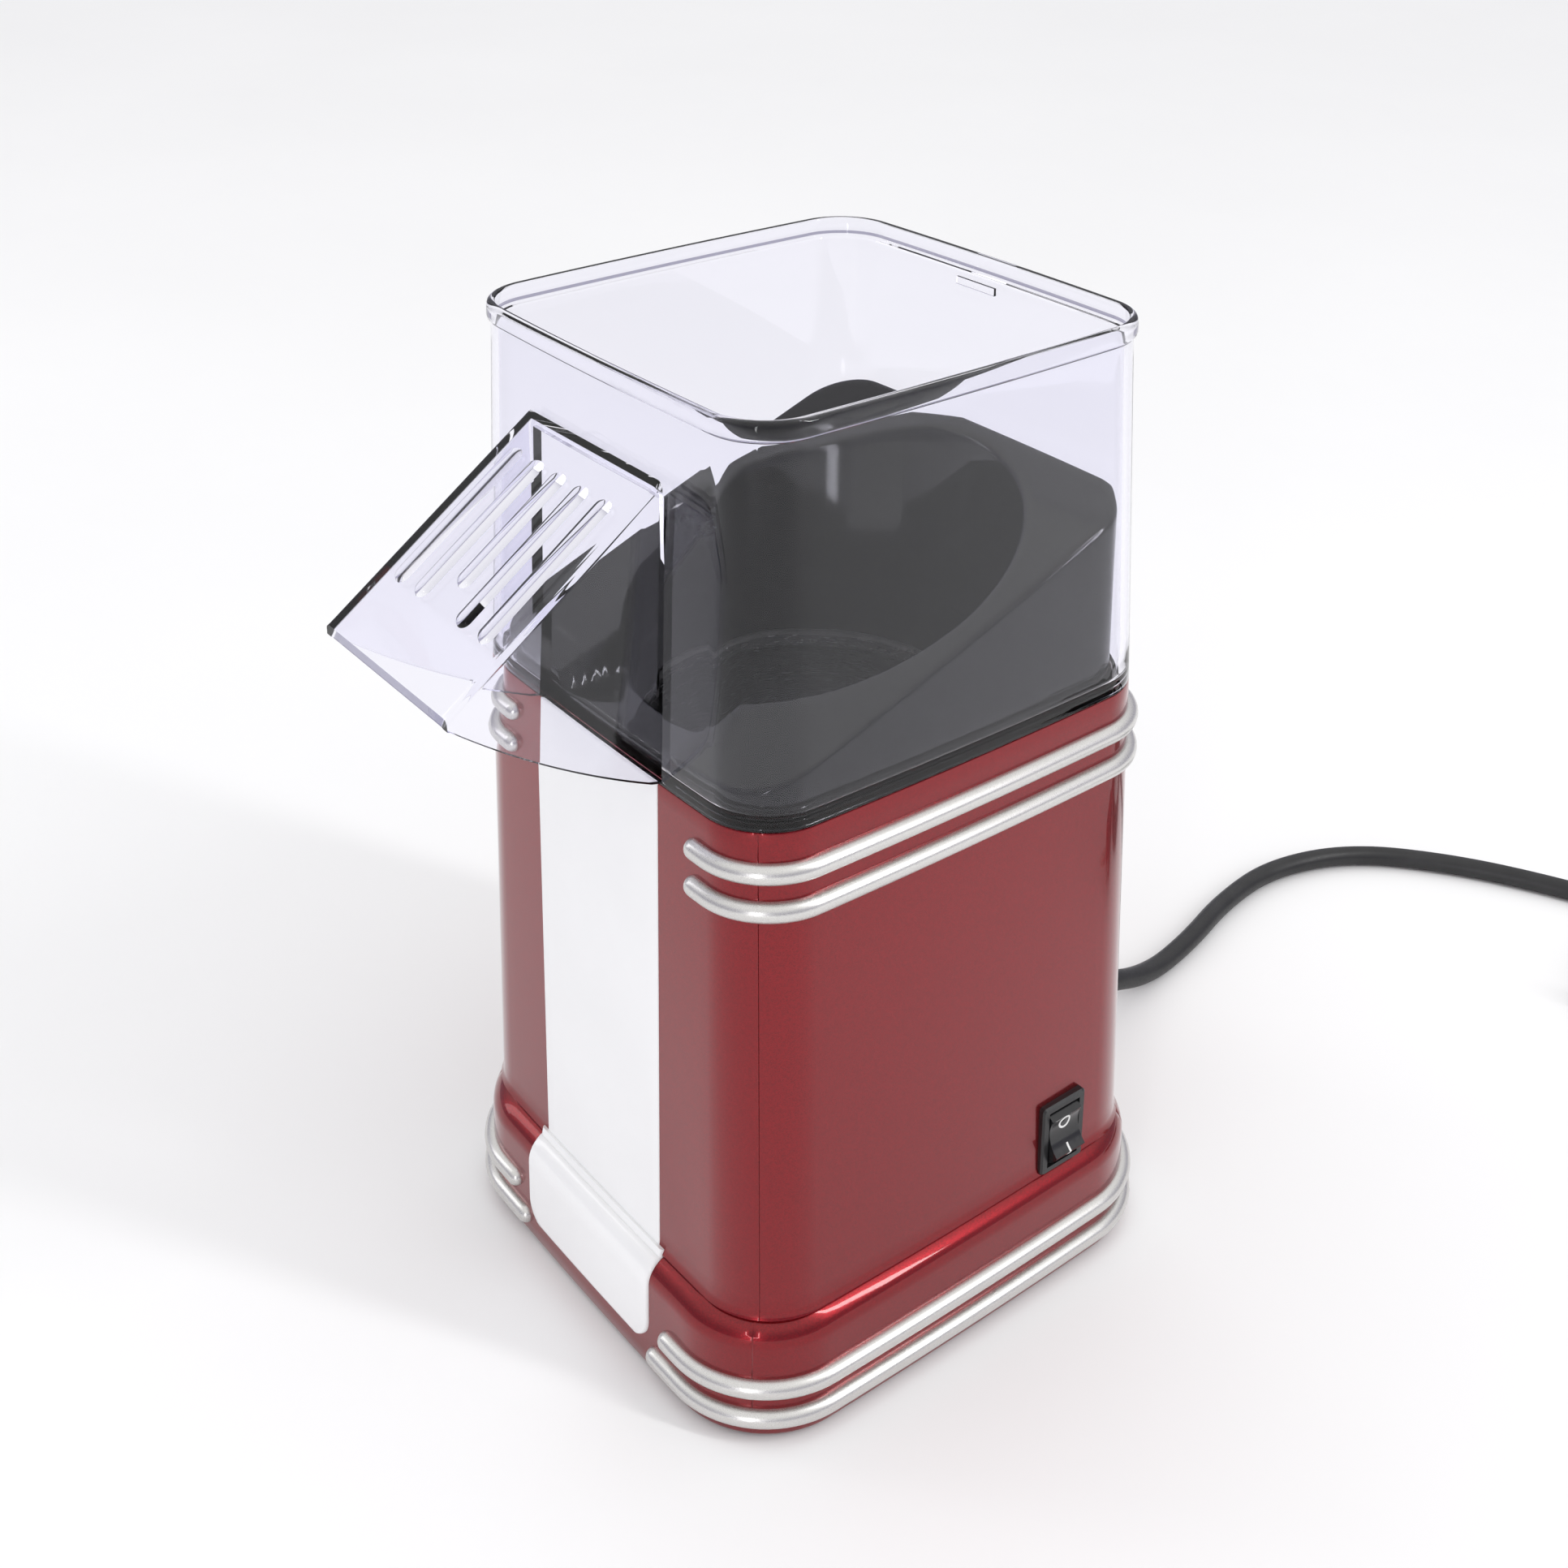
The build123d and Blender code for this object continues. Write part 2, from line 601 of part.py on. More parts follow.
def motor_shaft():
    low = MOTOR_BOTTOM_Z + 2
    high = IMPELLER_Z + 16
    return Pos(0, 0, (low + high) / 2) * Cylinder(SHAFT_R, high - low)


def impeller():
    """A centrifugal fan wheel: back plate, hub and curved-back blades."""
    plate = Pos(0, 0, IMPELLER_Z + 0.6) * Cylinder(IMPELLER_R, 1.2)
    hub = Pos(0, 0, IMPELLER_Z + 6) * Cylinder(6.0, 12)
    wheel = plate + hub
    for i in range(BLADE_COUNT):
        blade = Pos(20.5, 0, IMPELLER_Z + 5.8) * Rot(0, 0, 25) * Box(27, 1.2, 9.6)
        wheel = wheel + Rot(0, 0, 360 / BLADE_COUNT * i) * blade
    wheel = wheel & (Pos(0, 0, IMPELLER_Z + 6) * Cylinder(IMPELLER_R, 14))
    return wheel - Pos(0, 0, IMPELLER_Z + 6) * Cylinder(SHAFT_R, 20)


def rectifier_board():
    """The round board on the motor's tail, carrying its four diodes."""
    board = Pos(0, 0, 7.2) * Cylinder(13.0, 1.2)
    board = board - Pos(0, 9.5, 7.2) * Box(3.4, 1.2, 3) - Pos(0, -9.5, 7.2) * Box(3.4, 1.2, 3)
    return board


def board_diodes():
    diode = Pos(0, 0, -0.9) * Rot(0, 90, 0) * Cylinder(0.8, 4.6) + Pos(0, 0, -0.15) * Box(4.0, 0.8, 0.3)
    return group([Pos(x, y, 6.6) * diode for x in (-5, 5) for y in (-4, 4)])


def base_plate():
    """The floor plate, with the air inlet's slots in its middle."""
    size = base_size(PLATE_Z, -WALL - 0.4)
    plate = block((*size[:3], PLATE_Z), (*size[:3], PLATE_Z + PLATE_T))
    for i in range(9):
        x = (i - 4) * 7.0
        length = 56.0 - abs(i - 4) * 5.0
        plate = plate - Pos(x, 0, PLATE_Z + PLATE_T / 2) * Box(3.2, length, 6)
    for sx in (-1, 1):
        for sy in (-1, 1):
            plate = plate - Pos(sx * FOOT_XY[0], sy * FOOT_XY[1], PLATE_Z) * Cylinder(2.6, 10)
            plate = plate - Pos(sx * BOSS_XY[0], sy * BOSS_XY[1], PLATE_Z) * Cylinder(SCREW_R + 0.3, 10)
            plate = plate - Pos(sx * BOSS_XY[0], sy * BOSS_XY[1], PLATE_Z) * Cylinder(3.2, 3.7)
    return plate


def base_screws():
    places = [(sx * BOSS_XY[0], sy * BOSS_XY[1]) for sx in (-1, 1) for sy in (-1, 1)]
    return group([screw(x, y, PLATE_Z + 1.85, 12.0) for x, y in places])


def foot_pads():
    parts = []
    for sx in (-1, 1):
        for sy in (-1, 1):
            pad = Cone(7.0, 8.0, PLATE_Z)
            pad = Pos(0, 0, PLATE_Z / 2) * pad + Pos(0, 0, PLATE_Z + 2) * Cylinder(2.5, 4)
            parts.append(Pos(sx * FOOT_XY[0], sy * FOOT_XY[1], 0) * pad)
    return group(parts)


def rocker_place():
    return Pos(ROCKER_PIVOT_X, SWITCH_Y, SWITCH_Z)


def switch_bezel():
    """The switch's case and its front frame, with the pocket that the rocker turns in."""
    depth, width, height = BEZEL
    frame = Pos(SWITCH_SEAT_X + depth / 2, SWITCH_Y, SWITCH_Z) * Box(depth, width, height)
    frame = fillet(frame.edges().filter_by(Axis.X), 1.2)
    frame = chamfer(frame.faces().sort_by(Axis.X)[-1].edges(), 0.5)
    case_d, case_w, case_h = SWITCH_BODY
    case = Pos(SWITCH_SEAT_X - case_d / 2, SWITCH_Y, SWITCH_Z) * Box(case_d, case_w, case_h)
    back = 3.2
    reach = SWITCH_SEAT_X + depth + 1 - (ROCKER_PIVOT_X - back)
    pocket_x = ROCKER_PIVOT_X - back + reach / 2
    pocket = Pos(pocket_x, SWITCH_Y, SWITCH_Z) * Box(reach, ROCKER_W + 0.6, 2 * ROCKER_R + 0.4)
    pin_hole = rocker_place() * Rot(90, 0, 0) * Cylinder(ROCKER_PIN_R + 0.05, ROCKER_W + 2.2)
    return frame + case - pocket - pin_hole


def rocker():
    """The rocker in its off position: its upper end pressed in, its lower end standing out."""
    barrel = Rot(90, 0, 0) * Cylinder(ROCKER_R, ROCKER_W)
    keep = Pos(9.0, 0, 0) * Box(20.0, ROCKER_W, 2 * ROCKER_R)
    drum = barrel & keep
    end_x = 6.6
    end_z = math.sqrt(ROCKER_R**2 - end_x**2)
    with BuildSketch(Plane.XZ) as face:
        with BuildLine():
            ThreePointArc((end_x, end_z), (4.7, 0), (end_x, -end_z))
            Line((end_x, -end_z), (12, -end_z))
            Line((12, -end_z), (12, end_z))
            Line((12, end_z), (end_x, end_z))
        make_face()
    drum = drum - extrude(face.sketch, amount=ROCKER_W, both=True)
    pins = Rot(90, 0, 0) * Cylinder(ROCKER_PIN_R, ROCKER_W + 1.6)
    return rocker_place() * Rot(0, -ROCKER_OFF_DEG, 0) * (drum + pins)


def switch_terminals():
    x = SWITCH_SEAT_X - SWITCH_BODY[0] - 4.0
    parts = [Pos(x, SWITCH_Y, SWITCH_Z + dz) * Box(8.0, 4.8, 0.8) for dz in (-6.0, 2.0)]
    return group(parts)


def wire(points, radius, bend):
    """A round lead along straight runs with equal bends."""
    path = FilletPolyline(*points, radius=bend)
    plane = Plane(origin=path @ 0, z_dir=path % 0)
    return sweep(plane * Circle(radius), path=path)


def wire_to_switch():
    x = SWITCH_SEAT_X - SWITCH_BODY[0] - 8.0
    points = [(4.0, 44.0, 17.0), (20.0, 40.0, 24.0), (x - 6, SWITCH_Y + 4, 30.0), (x, SWITCH_Y, SWITCH_Z - 8)]
    return wire(points, 1.1, 3.0)


def wire_to_thermostat():
    points = [(-4.0, 44.0, 17.0), (-24.0, 46.0, 26.0), (-52.0, 24.0, 34.0), (-56.5, 6.0, 70.0), (-57.0, 2.0, 100.0)]
    return wire(points, 1.1, 5.0)


def wire_to_fuse():
    points = [(54.0, 20.0, 50.0), (55.0, 18.0, 74.0), (51.0, 14.5, 92.0)]
    return wire(points, 1.1, 5.0)


def cord_inner_end():
    return Pos(0, 58.8, CORD_EXIT_Z) * Rot(90, 0, 0) * Cylinder(CORD_R, 17.6)


def cord_clamp():
    """A saddle that grips the cord on a post of its own."""
    post = Pos(0, 57, 7.6) * Box(22, 8, 6.2)
    saddle = Pos(0, 57, 14.0) * Box(22, 8, 9.0)
    groove = Pos(0, 57, CORD_EXIT_Z) * Rot(90, 0, 0) * Cylinder(CORD_R, 12)
    body = post + saddle - groove
    for x in (-7.5, 7.5):
        body = body - Pos(x, 57, 14) * Cylinder(1.6, 12)
    return body


def cord_clamp_screws():
    return group([screw(x, 57, 18.5, 10.0, up=False) for x in (-7.5, 7.5)])


def cord_gland():
    """The moulded strain relief: a collar in the skirt and a tapering sleeve outside it."""
    back = BASE_HALF[1]
    collar = Pos(0, back - 1.0, CORD_EXIT_Z) * Rot(90, 0, 0) * Cylinder(5.5, 6.0)
    inner = Pos(0, back - 4.0 + 0.4, CORD_EXIT_Z) * Rot(90, 0, 0) * Cylinder(7.2, 1.6)
    flange = Pos(0, back + 1.3, CORD_EXIT_Z) * Rot(90, 0, 0) * Cylinder(7.2, 2.0)
    taper_l = GLAND_END_Y - back - 2.0
    taper = Pos(0, back + 2.0 + taper_l / 2, CORD_EXIT_Z) * Rot(-90, 0, 0) * Cone(5.6, 4.2, taper_l)
    return collar + inner + flange + taper


def route_radii(points):
    """0.45 of the shorter run at each corner, over the tangent of half the turn."""
    radii = []
    for before, here, after in zip(points[:-2], points[1:-1], points[2:]):
        first = Vector(*here) - Vector(*before)
        second = Vector(*after) - Vector(*here)
        turn = math.radians(first.get_angle(second))
        radii.append(0.45 * min(first.length, second.length) / math.tan(turn / 2))
    return radii


def power_cord():
    radii = route_radii(CORD_ROUTE)
    print("cord arc radii", [round(r, 1) for r in radii])
    path = FilletPolyline(*CORD_ROUTE, radius=radii)
    print("cord tube length", round(path.length, 1))
    plane = Plane(origin=path @ 0, z_dir=path % 0)
    tube = sweep(plane * Circle(CORD_R), path=path)
    print("cord volume ratio", round(tube.volume / (math.pi * CORD_R**2 * path.length), 4))
    return tube


def cord_coil():
    """The outer shape of the put-away turns."""
    width, height = COIL_SECTION
    with BuildSketch(Plane.XZ) as section:
        with Locations((COIL_MEAN_R, COIL_LIFT + height / 2)):
            RectangleRounded(width, height, 3.0)
    ring = revolve(section.sketch, axis=Axis.Z)
    return Pos(COIL_CENTRE[0], COIL_CENTRE[1], 0) * ring


def coil_tie():
    width, height = COIL_SECTION
    z = COIL_LIFT + height / 2
    band = Pos(COIL_MEAN_R, 0, z) * Box(width + 1.4, 6.0, height + 1.4)
    band = fillet(band.edges().filter_by(Axis.Y), 3.0)
    turn = Rot(0, 0, 230)
    return Pos(COIL_CENTRE[0], COIL_CENTRE[1], 0) * turn * band - cord_coil()


def plug_body():
    """A two-pin earthless plug lying flat beside the coil, with its cord sleeve."""
    sleeve_l = 24.0
    sleeve = Pos(TAIL_X, TAIL_Y - sleeve_l / 2, PLUG_Z) * Rot(90, 0, 0) * Cone(4.2, 6.2, sleeve_l)
    body = Pos(TAIL_X, TAIL_Y - sleeve_l - 17, PLUG_Z) * Box(34, 34, 17)
    body = fillet(body.edges().filter_by(Axis.Y), 7.5)
    body = chamfer(body.faces().sort_by(Axis.Y)[-1].edges(), 5.0)
    return sleeve + body


def plug_pins():
    y = TAIL_Y - 24.0 - 34.0 - PLUG_PIN_L / 2
    parts = []
    for side in (-1, 1):
        pin = Pos(TAIL_X + side * PLUG_PIN_GAP / 2, y, PLUG_Z) * Rot(90, 0, 0) * Cylinder(PLUG_PIN_R, PLUG_PIN_L)
        pin = fillet(pin.edges().sort_by(Axis.Y)[0], 1.6)
        parts.append(pin)
    return group(parts)


NODES = {
    "body_housing": body_housing,
    "trim_bars_upper_right": lambda: upper_bars(1),
    "trim_bars_upper_left": lambda: upper_bars(-1),
    "trim_bars_base_right": lambda: base_bars(1),
    "trim_bars_base_left": lambda: base_bars(-1),
    "front_strip": strip_solid,
    "front_base_plate": plate_solid,
    "hood": hood,
    "funnel": funnel,
    "chamber": chamber,
    "chamber_seal": chamber_seal,
    "duct_sleeve": duct_sleeve,
    "duct_screws": duct_screws,
    "heater_frame": heater_frame,
    "heater_coil": heater_coil,
    "thermostat": thermostat,
    "thermal_fuse": thermal_fuse,
    "fan_housing": fan_housing,
    "motor_bracket": motor_bracket,
    "bracket_screws": bracket_screws,
    "motor_can": motor_can,
    "motor_end_cap": motor_end_cap,
    "motor_screws": motor_screws,
    "motor_shaft": motor_shaft,
    "impeller": impeller,
    "rectifier_board": rectifier_board,
    "board_diodes": board_diodes,
    "base_plate": base_plate,
    "base_screws": base_screws,
    "foot_pads": foot_pads,
    "switch_bezel": switch_bezel,
    "rocker": rocker,
    "switch_terminals": switch_terminals,
    "wire_to_switch": wire_to_switch,
    "wire_to_thermostat": wire_to_thermostat,
    "wire_to_fuse": wire_to_fuse,
    "cord_inner_end": cord_inner_end,
    "cord_clamp": cord_clamp,
    "cord_clamp_screws": cord_clamp_screws,
    "cord_gland": cord_gland,
    "power_cord": power_cord,
    "cord_coil": cord_coil,
    "coil_tie": coil_tie,
    "plug_body": plug_body,
    "plug_pins": plug_pins,
}

os.makedirs("parts", exist_ok=True)
for name, make in NODES.items():
    export_step(Pos(0, AXIS_Y, 0) * make(), f"parts/{name}.step")
print("tower axis at y", AXIS_Y)
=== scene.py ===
import math

import bmesh
import bpy
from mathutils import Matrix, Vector


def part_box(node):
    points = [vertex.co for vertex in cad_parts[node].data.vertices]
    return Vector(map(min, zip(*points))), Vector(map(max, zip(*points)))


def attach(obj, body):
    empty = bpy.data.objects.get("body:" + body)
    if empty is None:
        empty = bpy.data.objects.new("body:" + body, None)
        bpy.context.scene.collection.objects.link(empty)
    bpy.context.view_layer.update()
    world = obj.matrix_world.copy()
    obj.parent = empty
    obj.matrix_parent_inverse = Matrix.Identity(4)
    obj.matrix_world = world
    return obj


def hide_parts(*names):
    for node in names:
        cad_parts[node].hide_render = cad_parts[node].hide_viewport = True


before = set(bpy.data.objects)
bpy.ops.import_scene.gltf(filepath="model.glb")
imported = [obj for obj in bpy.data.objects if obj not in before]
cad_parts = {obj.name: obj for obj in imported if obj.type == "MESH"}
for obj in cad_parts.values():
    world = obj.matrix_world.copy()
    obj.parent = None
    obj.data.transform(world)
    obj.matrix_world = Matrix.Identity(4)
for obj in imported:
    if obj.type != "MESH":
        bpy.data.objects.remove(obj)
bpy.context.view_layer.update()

# Hot-air popcorn maker. Shapes are worked out in millimetres about the tower's vertical axis,
# with the spout towards -Y, and at() puts a point into the row frame in metres.
MM = 0.001


def frame_box(node):
    """A CAD node's lowest and highest corner, in millimetres in the row frame."""
    low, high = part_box(node)
    return low / MM, high / MM


HOUSING_LOW, HOUSING_HIGH = frame_box("body_housing")
HOOD_LOW, HOOD_HIGH = frame_box("hood")
BEZEL_LOW, BEZEL_HIGH = frame_box("switch_bezel")
ROCKER_LOW, ROCKER_HIGH = frame_box("rocker")
GLAND_LOW, GLAND_HIGH = frame_box("cord_gland")
PLUG_LOW, PLUG_HIGH = frame_box("plug_body")
COIL_LOW, COIL_HIGH = frame_box("cord_coil")
FUNNEL_LOW, FUNNEL_HIGH = frame_box("funnel")
AXIS_Y = (HOUSING_LOW.y + HOUSING_HIGH.y) / 2

# Tower, base and hood outlines: half width, half depth, corner radius
TOWER_TOP_Z = HOUSING_HIGH.z
TOWER_FOOT_Z = 34.0
BASE_BOTTOM_Z = HOUSING_LOW.z
TOTAL_H = HOOD_HIGH.z
TOP_OUTLINE = (61.8, 63.6, 16.5)
FOOT_OUTLINE = (65.0, 66.4, 18.0)
BASE_OUTLINE = (68.5, 72.0, 25.0)
SHOULDER_OUTLINE = (67.8, 71.2, 25.0)
HOOD_TOP_OUTLINE = (57.5, 60.0, 13.5)
CROWN = 1.2
WALL = 2.2
SHOULDER_R = 7.0
JOIN_R = 2.5
CORNER_STEPS = 20
SIDE_STEPS = 26
SEAM_DEPTH = 0.14
SEAM_DEG = 0.5
INSIDE_STEP_LOW_Z = 24.0
INSIDE_STEP_HIGH_Z = 28.0
INSIDE_TOWER_Z = 36.0
SWITCH_HOLE_X = (56, 72)
CORD_HOLE_R = 5.6

# Trim bars, strip and plate
BAR_R = 2.6
UPPER_BARS = ((156.0, 40.0), (146.4, 40.0))
BASE_BARS = ((15.8, 36.0), (7.0, 31.0))
STRIP_HALF_W = 26.0
STRIP_PROUD = 0.35
PLATE_HALF_W = 28.0
PLATE_BOTTOM_Z = 8.5
PLATE_CORNER = 7.0
PLATE_PROUD = 0.9

# Hood and spout
HOOD_WALL = 2.2
RIM_H = 4.5
RIM_PROUD = 1.0
LIP_LOW_Z = HOOD_LOW.z
SPOUT_HALF_W = 27.5
SPOUT_WALL = 2.0
SPOUT_TOP_Z = 240.0
SPOUT_TIP = (-115.5, 201.0)
SPOUT_EDGE_MIDDLE = (-95.0, 183.5)
RIB_XS = (-18.4, -9.2, 0.0, 9.2, 18.4)
RIB_R = 2.4
RIB_H = 1.8
RIB_LENGTHS = (36.0, 36.0, 29.0, 36.0, 36.0)
RIB_START = 10.0

# Funnel
FUNNEL_HALF = (56.8, 58.8, 13.0)
FUNNEL_FRONT_Z = 171.5
FUNNEL_BACK_Z = FUNNEL_HIGH.z
MOUTH_R = 43.0
MOUTH_Z = FUNNEL_LOW.z
WELL_FLARE = 7.0 / 45.0
CHANNEL_HALF_W = 24.0
LIP_Z = 167.4
FUNNEL_WALL = 1.8
FUNNEL_FOOT_Z = 158.0
FUNNEL_EDGE_R = 1.5

# Mains cord: part.py's route, in metres about the tower's axis
CORD_D = 0.0065
CORD_ROUTE = (
    (0.0, 0.1, 0.014),
    (0.0, 0.116, 0.014),
    (-0.002, 0.141, 0.0034),
    (-0.006, 0.166, 0.0034),
    (-0.014, 0.192, 0.0034),
    (-0.017, 0.221, 0.0034),
    (-0.006, 0.251, 0.0034),
    (0.02, 0.2735, 0.0034),
    (0.049, 0.2895, 0.0034),
    (0.08, 0.302, 0.0034),
    (0.1095, 0.313, 0.0034),
)
COIL_RADII = (39.1, 32.4, 32.4, 39.1)
COIL_HEIGHTS = (4.1, 4.1, 10.7, 10.7)
COIL_START_DEG = 112.0
COIL_TURN_POINTS = 16


def at(x, y, z):
    return Vector((x, y + AXIS_Y, z)) * MM


# Materials

def new_material(name):
    material = bpy.data.materials.new(name)
    material.use_nodes = True
    nodes = material.node_tree.nodes
    return material, nodes, material.node_tree.links, nodes["Principled BSDF"]


def noise_texture(nodes, links, scale, detail=3.0, stretch=(1.0, 1.0, 1.0)):
    """A noise in object space; scale is in cells per metre."""
    coords = nodes.new("ShaderNodeTexCoord")
    mapping = nodes.new("ShaderNodeMapping")
    mapping.inputs["Scale"].default_value = stretch
    texture = nodes.new("ShaderNodeTexNoise")
    texture.inputs["Scale"].default_value = scale
    texture.inputs["Detail"].default_value = detail
    links.new(coords.outputs["Object"], mapping.inputs["Vector"])
    links.new(mapping.outputs["Vector"], texture.inputs["Vector"])
    return texture


def spread(nodes, links, source, low, high, socket):
    """Drives a number socket from a texture's factor, between low and high."""
    span = nodes.new("ShaderNodeMapRange")
    span.inputs["From Min"].default_value = 0.3
    span.inputs["From Max"].default_value = 0.7
    span.inputs["To Min"].default_value = low
    span.inputs["To Max"].default_value = high
    links.new(source, span.inputs["Value"])
    links.new(span.outputs["Result"], socket)


def tint(nodes, links, source, dark, light, socket):
    """Drives a colour socket from a texture's factor, between two colours."""
    ramp = nodes.new("ShaderNodeValToRGB")
    ramp.color_ramp.elements[0].position = 0.3
    ramp.color_ramp.elements[1].position = 0.7
    ramp.color_ramp.elements[0].color = (*dark, 1)
    ramp.color_ramp.elements[1].color = (*light, 1)
    links.new(source, ramp.inputs["Fac"])
    links.new(ramp.outputs["Color"], socket)


def bump(nodes, links, source, shader, height, strength=0.3):
    node = nodes.new("ShaderNodeBump")
    node.inputs["Distance"].default_value = height
    node.inputs["Strength"].default_value = strength
    links.new(source, node.inputs["Height"])
    links.new(node.outputs["Normal"], shader.inputs["Normal"])


def finish_material(name, dark, light, rough, metallic=0.0, grain=900.0, height=0.00004,
                    coat=0.0, stretch=(1.0, 1.0, 1.0), mottle=120.0, strength=0.3, specular=0.5):
    """A solid surface: mottled colour, uneven roughness and a fine grain."""
    material, nodes, links, shader = new_material(name)
    shader.inputs["Metallic"].default_value = metallic
    shader.inputs["Coat Weight"].default_value = coat
    shader.inputs["Coat Roughness"].default_value = 0.06
    shader.inputs["Specular IOR Level"].default_value = specular
    cloud = noise_texture(nodes, links, mottle, 4.0)
    tint(nodes, links, cloud.outputs["Fac"], dark, light, shader.inputs["Base Color"])
    fine = noise_texture(nodes, links, grain, 2.0, stretch)
    spread(nodes, links, fine.outputs["Fac"], rough * 0.85, rough * 1.15,
           shader.inputs["Roughness"])
    bump(nodes, links, fine.outputs["Fac"], shader, height, strength)
    return material


def red_lacquer():
    """Candy red: metal flakes under a deep clear coat."""
    material, nodes, links, shader = new_material("red_lacquer")
    shader.inputs["Metallic"].default_value = 0.75
    shader.inputs["Roughness"].default_value = 0.27
    shader.inputs["Coat Weight"].default_value = 1.0
    shader.inputs["Coat Roughness"].default_value = 0.045
    shader.inputs["Coat IOR"].default_value = 1.36
    coords = nodes.new("ShaderNodeTexCoord")
    flakes = nodes.new("ShaderNodeTexVoronoi")
    flakes.inputs["Scale"].default_value = 4200.0
    links.new(coords.outputs["Object"], flakes.inputs["Vector"])
    grey = nodes.new("ShaderNodeRGBToBW")
    links.new(flakes.outputs["Color"], grey.inputs["Color"])
    tint(nodes, links, grey.outputs["Val"], (0.175, 0.0008, 0.0045), (0.245, 0.0016, 0.0065),
         shader.inputs["Base Color"])
    bump(nodes, links, grey.outputs["Val"], shader, 0.00001, 0.12)
    return material


def clear_plastic():
    """Clear polycarbonate, faintly violet in its thickness."""
    material, nodes, links, shader = new_material("clear_polycarbonate")
    shader.inputs["Base Color"].default_value = (0.93, 0.925, 0.985, 1)
    shader.inputs["Transmission Weight"].default_value = 1.0
    shader.inputs["IOR"].default_value = 1.34
    flow = noise_texture(nodes, links, 26.0, 1.0)
    spread(nodes, links, flow.outputs["Fac"], 0.0, 0.025, shader.inputs["Roughness"])
    bump(nodes, links, flow.outputs["Fac"], shader, 0.00025, 0.12)
    return material


def brushed_metal(name, colour, rough, around_z=False):
    """Drawn or rolled metal with fine lines along one direction."""
    lines = (1.0, 1.0, 40.0) if around_z else (1.0, 30.0, 1.0)
    darker = tuple(value * 0.86 for value in colour)
    return finish_material(name, darker, colour, rough, 1.0, 220.0, 0.00002, 0.0, lines, 60.0, 0.25)


def chamber_metal_painted_highlight_and_shade():
    """Drawn aluminium: base colour painted bright at the rim as a painted highlight, and dark below
    it as painted shade inside the chamber.
    """
    material, nodes, links, shader = new_material("chamber_aluminium_painted_highlight_and_shade")
    shader.inputs["Metallic"].default_value = 1.0
    coords = nodes.new("ShaderNodeTexCoord")
    split = nodes.new("ShaderNodeSeparateXYZ")
    links.new(coords.outputs["Object"], split.inputs["Vector"])
    height = nodes.new("ShaderNodeMapRange")
    height.inputs["From Min"].default_value = (MOUTH_Z - 4.0) * MM
    height.inputs["From Max"].default_value = (MOUTH_Z - 0.5) * MM
    links.new(split.outputs["Z"], height.inputs["Value"])
    # Base colour by height: the light at the rim is a painted highlight, the dark lower down is
    # painted shade.
    tint(nodes, links, height.outputs["Result"], (0.20, 0.20, 0.21), (0.85, 0.85, 0.85),
         shader.inputs["Base Color"])
    lines = noise_texture(nodes, links, 220.0, 2.0, (1.0, 1.0, 30.0))
    spread(nodes, links, lines.outputs["Fac"], 0.20, 0.28, shader.inputs["Roughness"])
    bump(nodes, links, lines.outputs["Fac"], shader, 0.00001, 0.1)
    return material


RED = red_lacquer()
CLEAR = clear_plastic()
SILVER = finish_material("silver_paint", (0.60, 0.59, 0.57), (0.70, 0.69, 0.67), 0.30, 0.85,
                         5200.0, 0.00001, 0.25, mottle=4200.0, strength=0.15)
WHITE = finish_material("white_plastic", (0.90, 0.90, 0.90), (0.93, 0.93, 0.93), 0.16, 0.0,
                        500.0, 0.00002, 0.4, mottle=30.0, strength=0.08)
BLACK_GLOSS = finish_material("black_gloss", (0.0020, 0.0020, 0.0022), (0.0036, 0.0036, 0.0038),
                              0.08, 0.0, 420.0, 0.00003, 0.0, mottle=45.0, strength=0.06,
                              specular=0.3)
BLACK_MATTE = finish_material("black_moulded", (0.016, 0.016, 0.017), (0.028, 0.028, 0.03), 0.5,
                              0.0, 2600.0, 0.00006, strength=0.5)
SWITCH_BLACK = finish_material("switch_black", (0.010, 0.010, 0.011), (0.016, 0.016, 0.017), 0.36,
                               0.0, 3600.0, 0.00004, strength=0.4)
ROCKER_BLACK = finish_material("rocker_black", (0.008, 0.008, 0.009), (0.012, 0.012, 0.013), 0.2,
                               0.0, 900.0, 0.00002, 0.2, strength=0.15)
MARK_WHITE = finish_material("mark_white", (0.74, 0.74, 0.72), (0.82, 0.82, 0.80), 0.45, 0.0,
                             3000.0, 0.00001)
CORD_BLACK = finish_material("cord_black", (0.010, 0.010, 0.011), (0.019, 0.019, 0.02), 0.42, 0.0,
                             1500.0, 0.00005, strength=0.35)
RUBBER = finish_material("foot_rubber", (0.014, 0.014, 0.014), (0.03, 0.03, 0.029), 0.75, 0.0,
                         1400.0, 0.0001, strength=0.5)
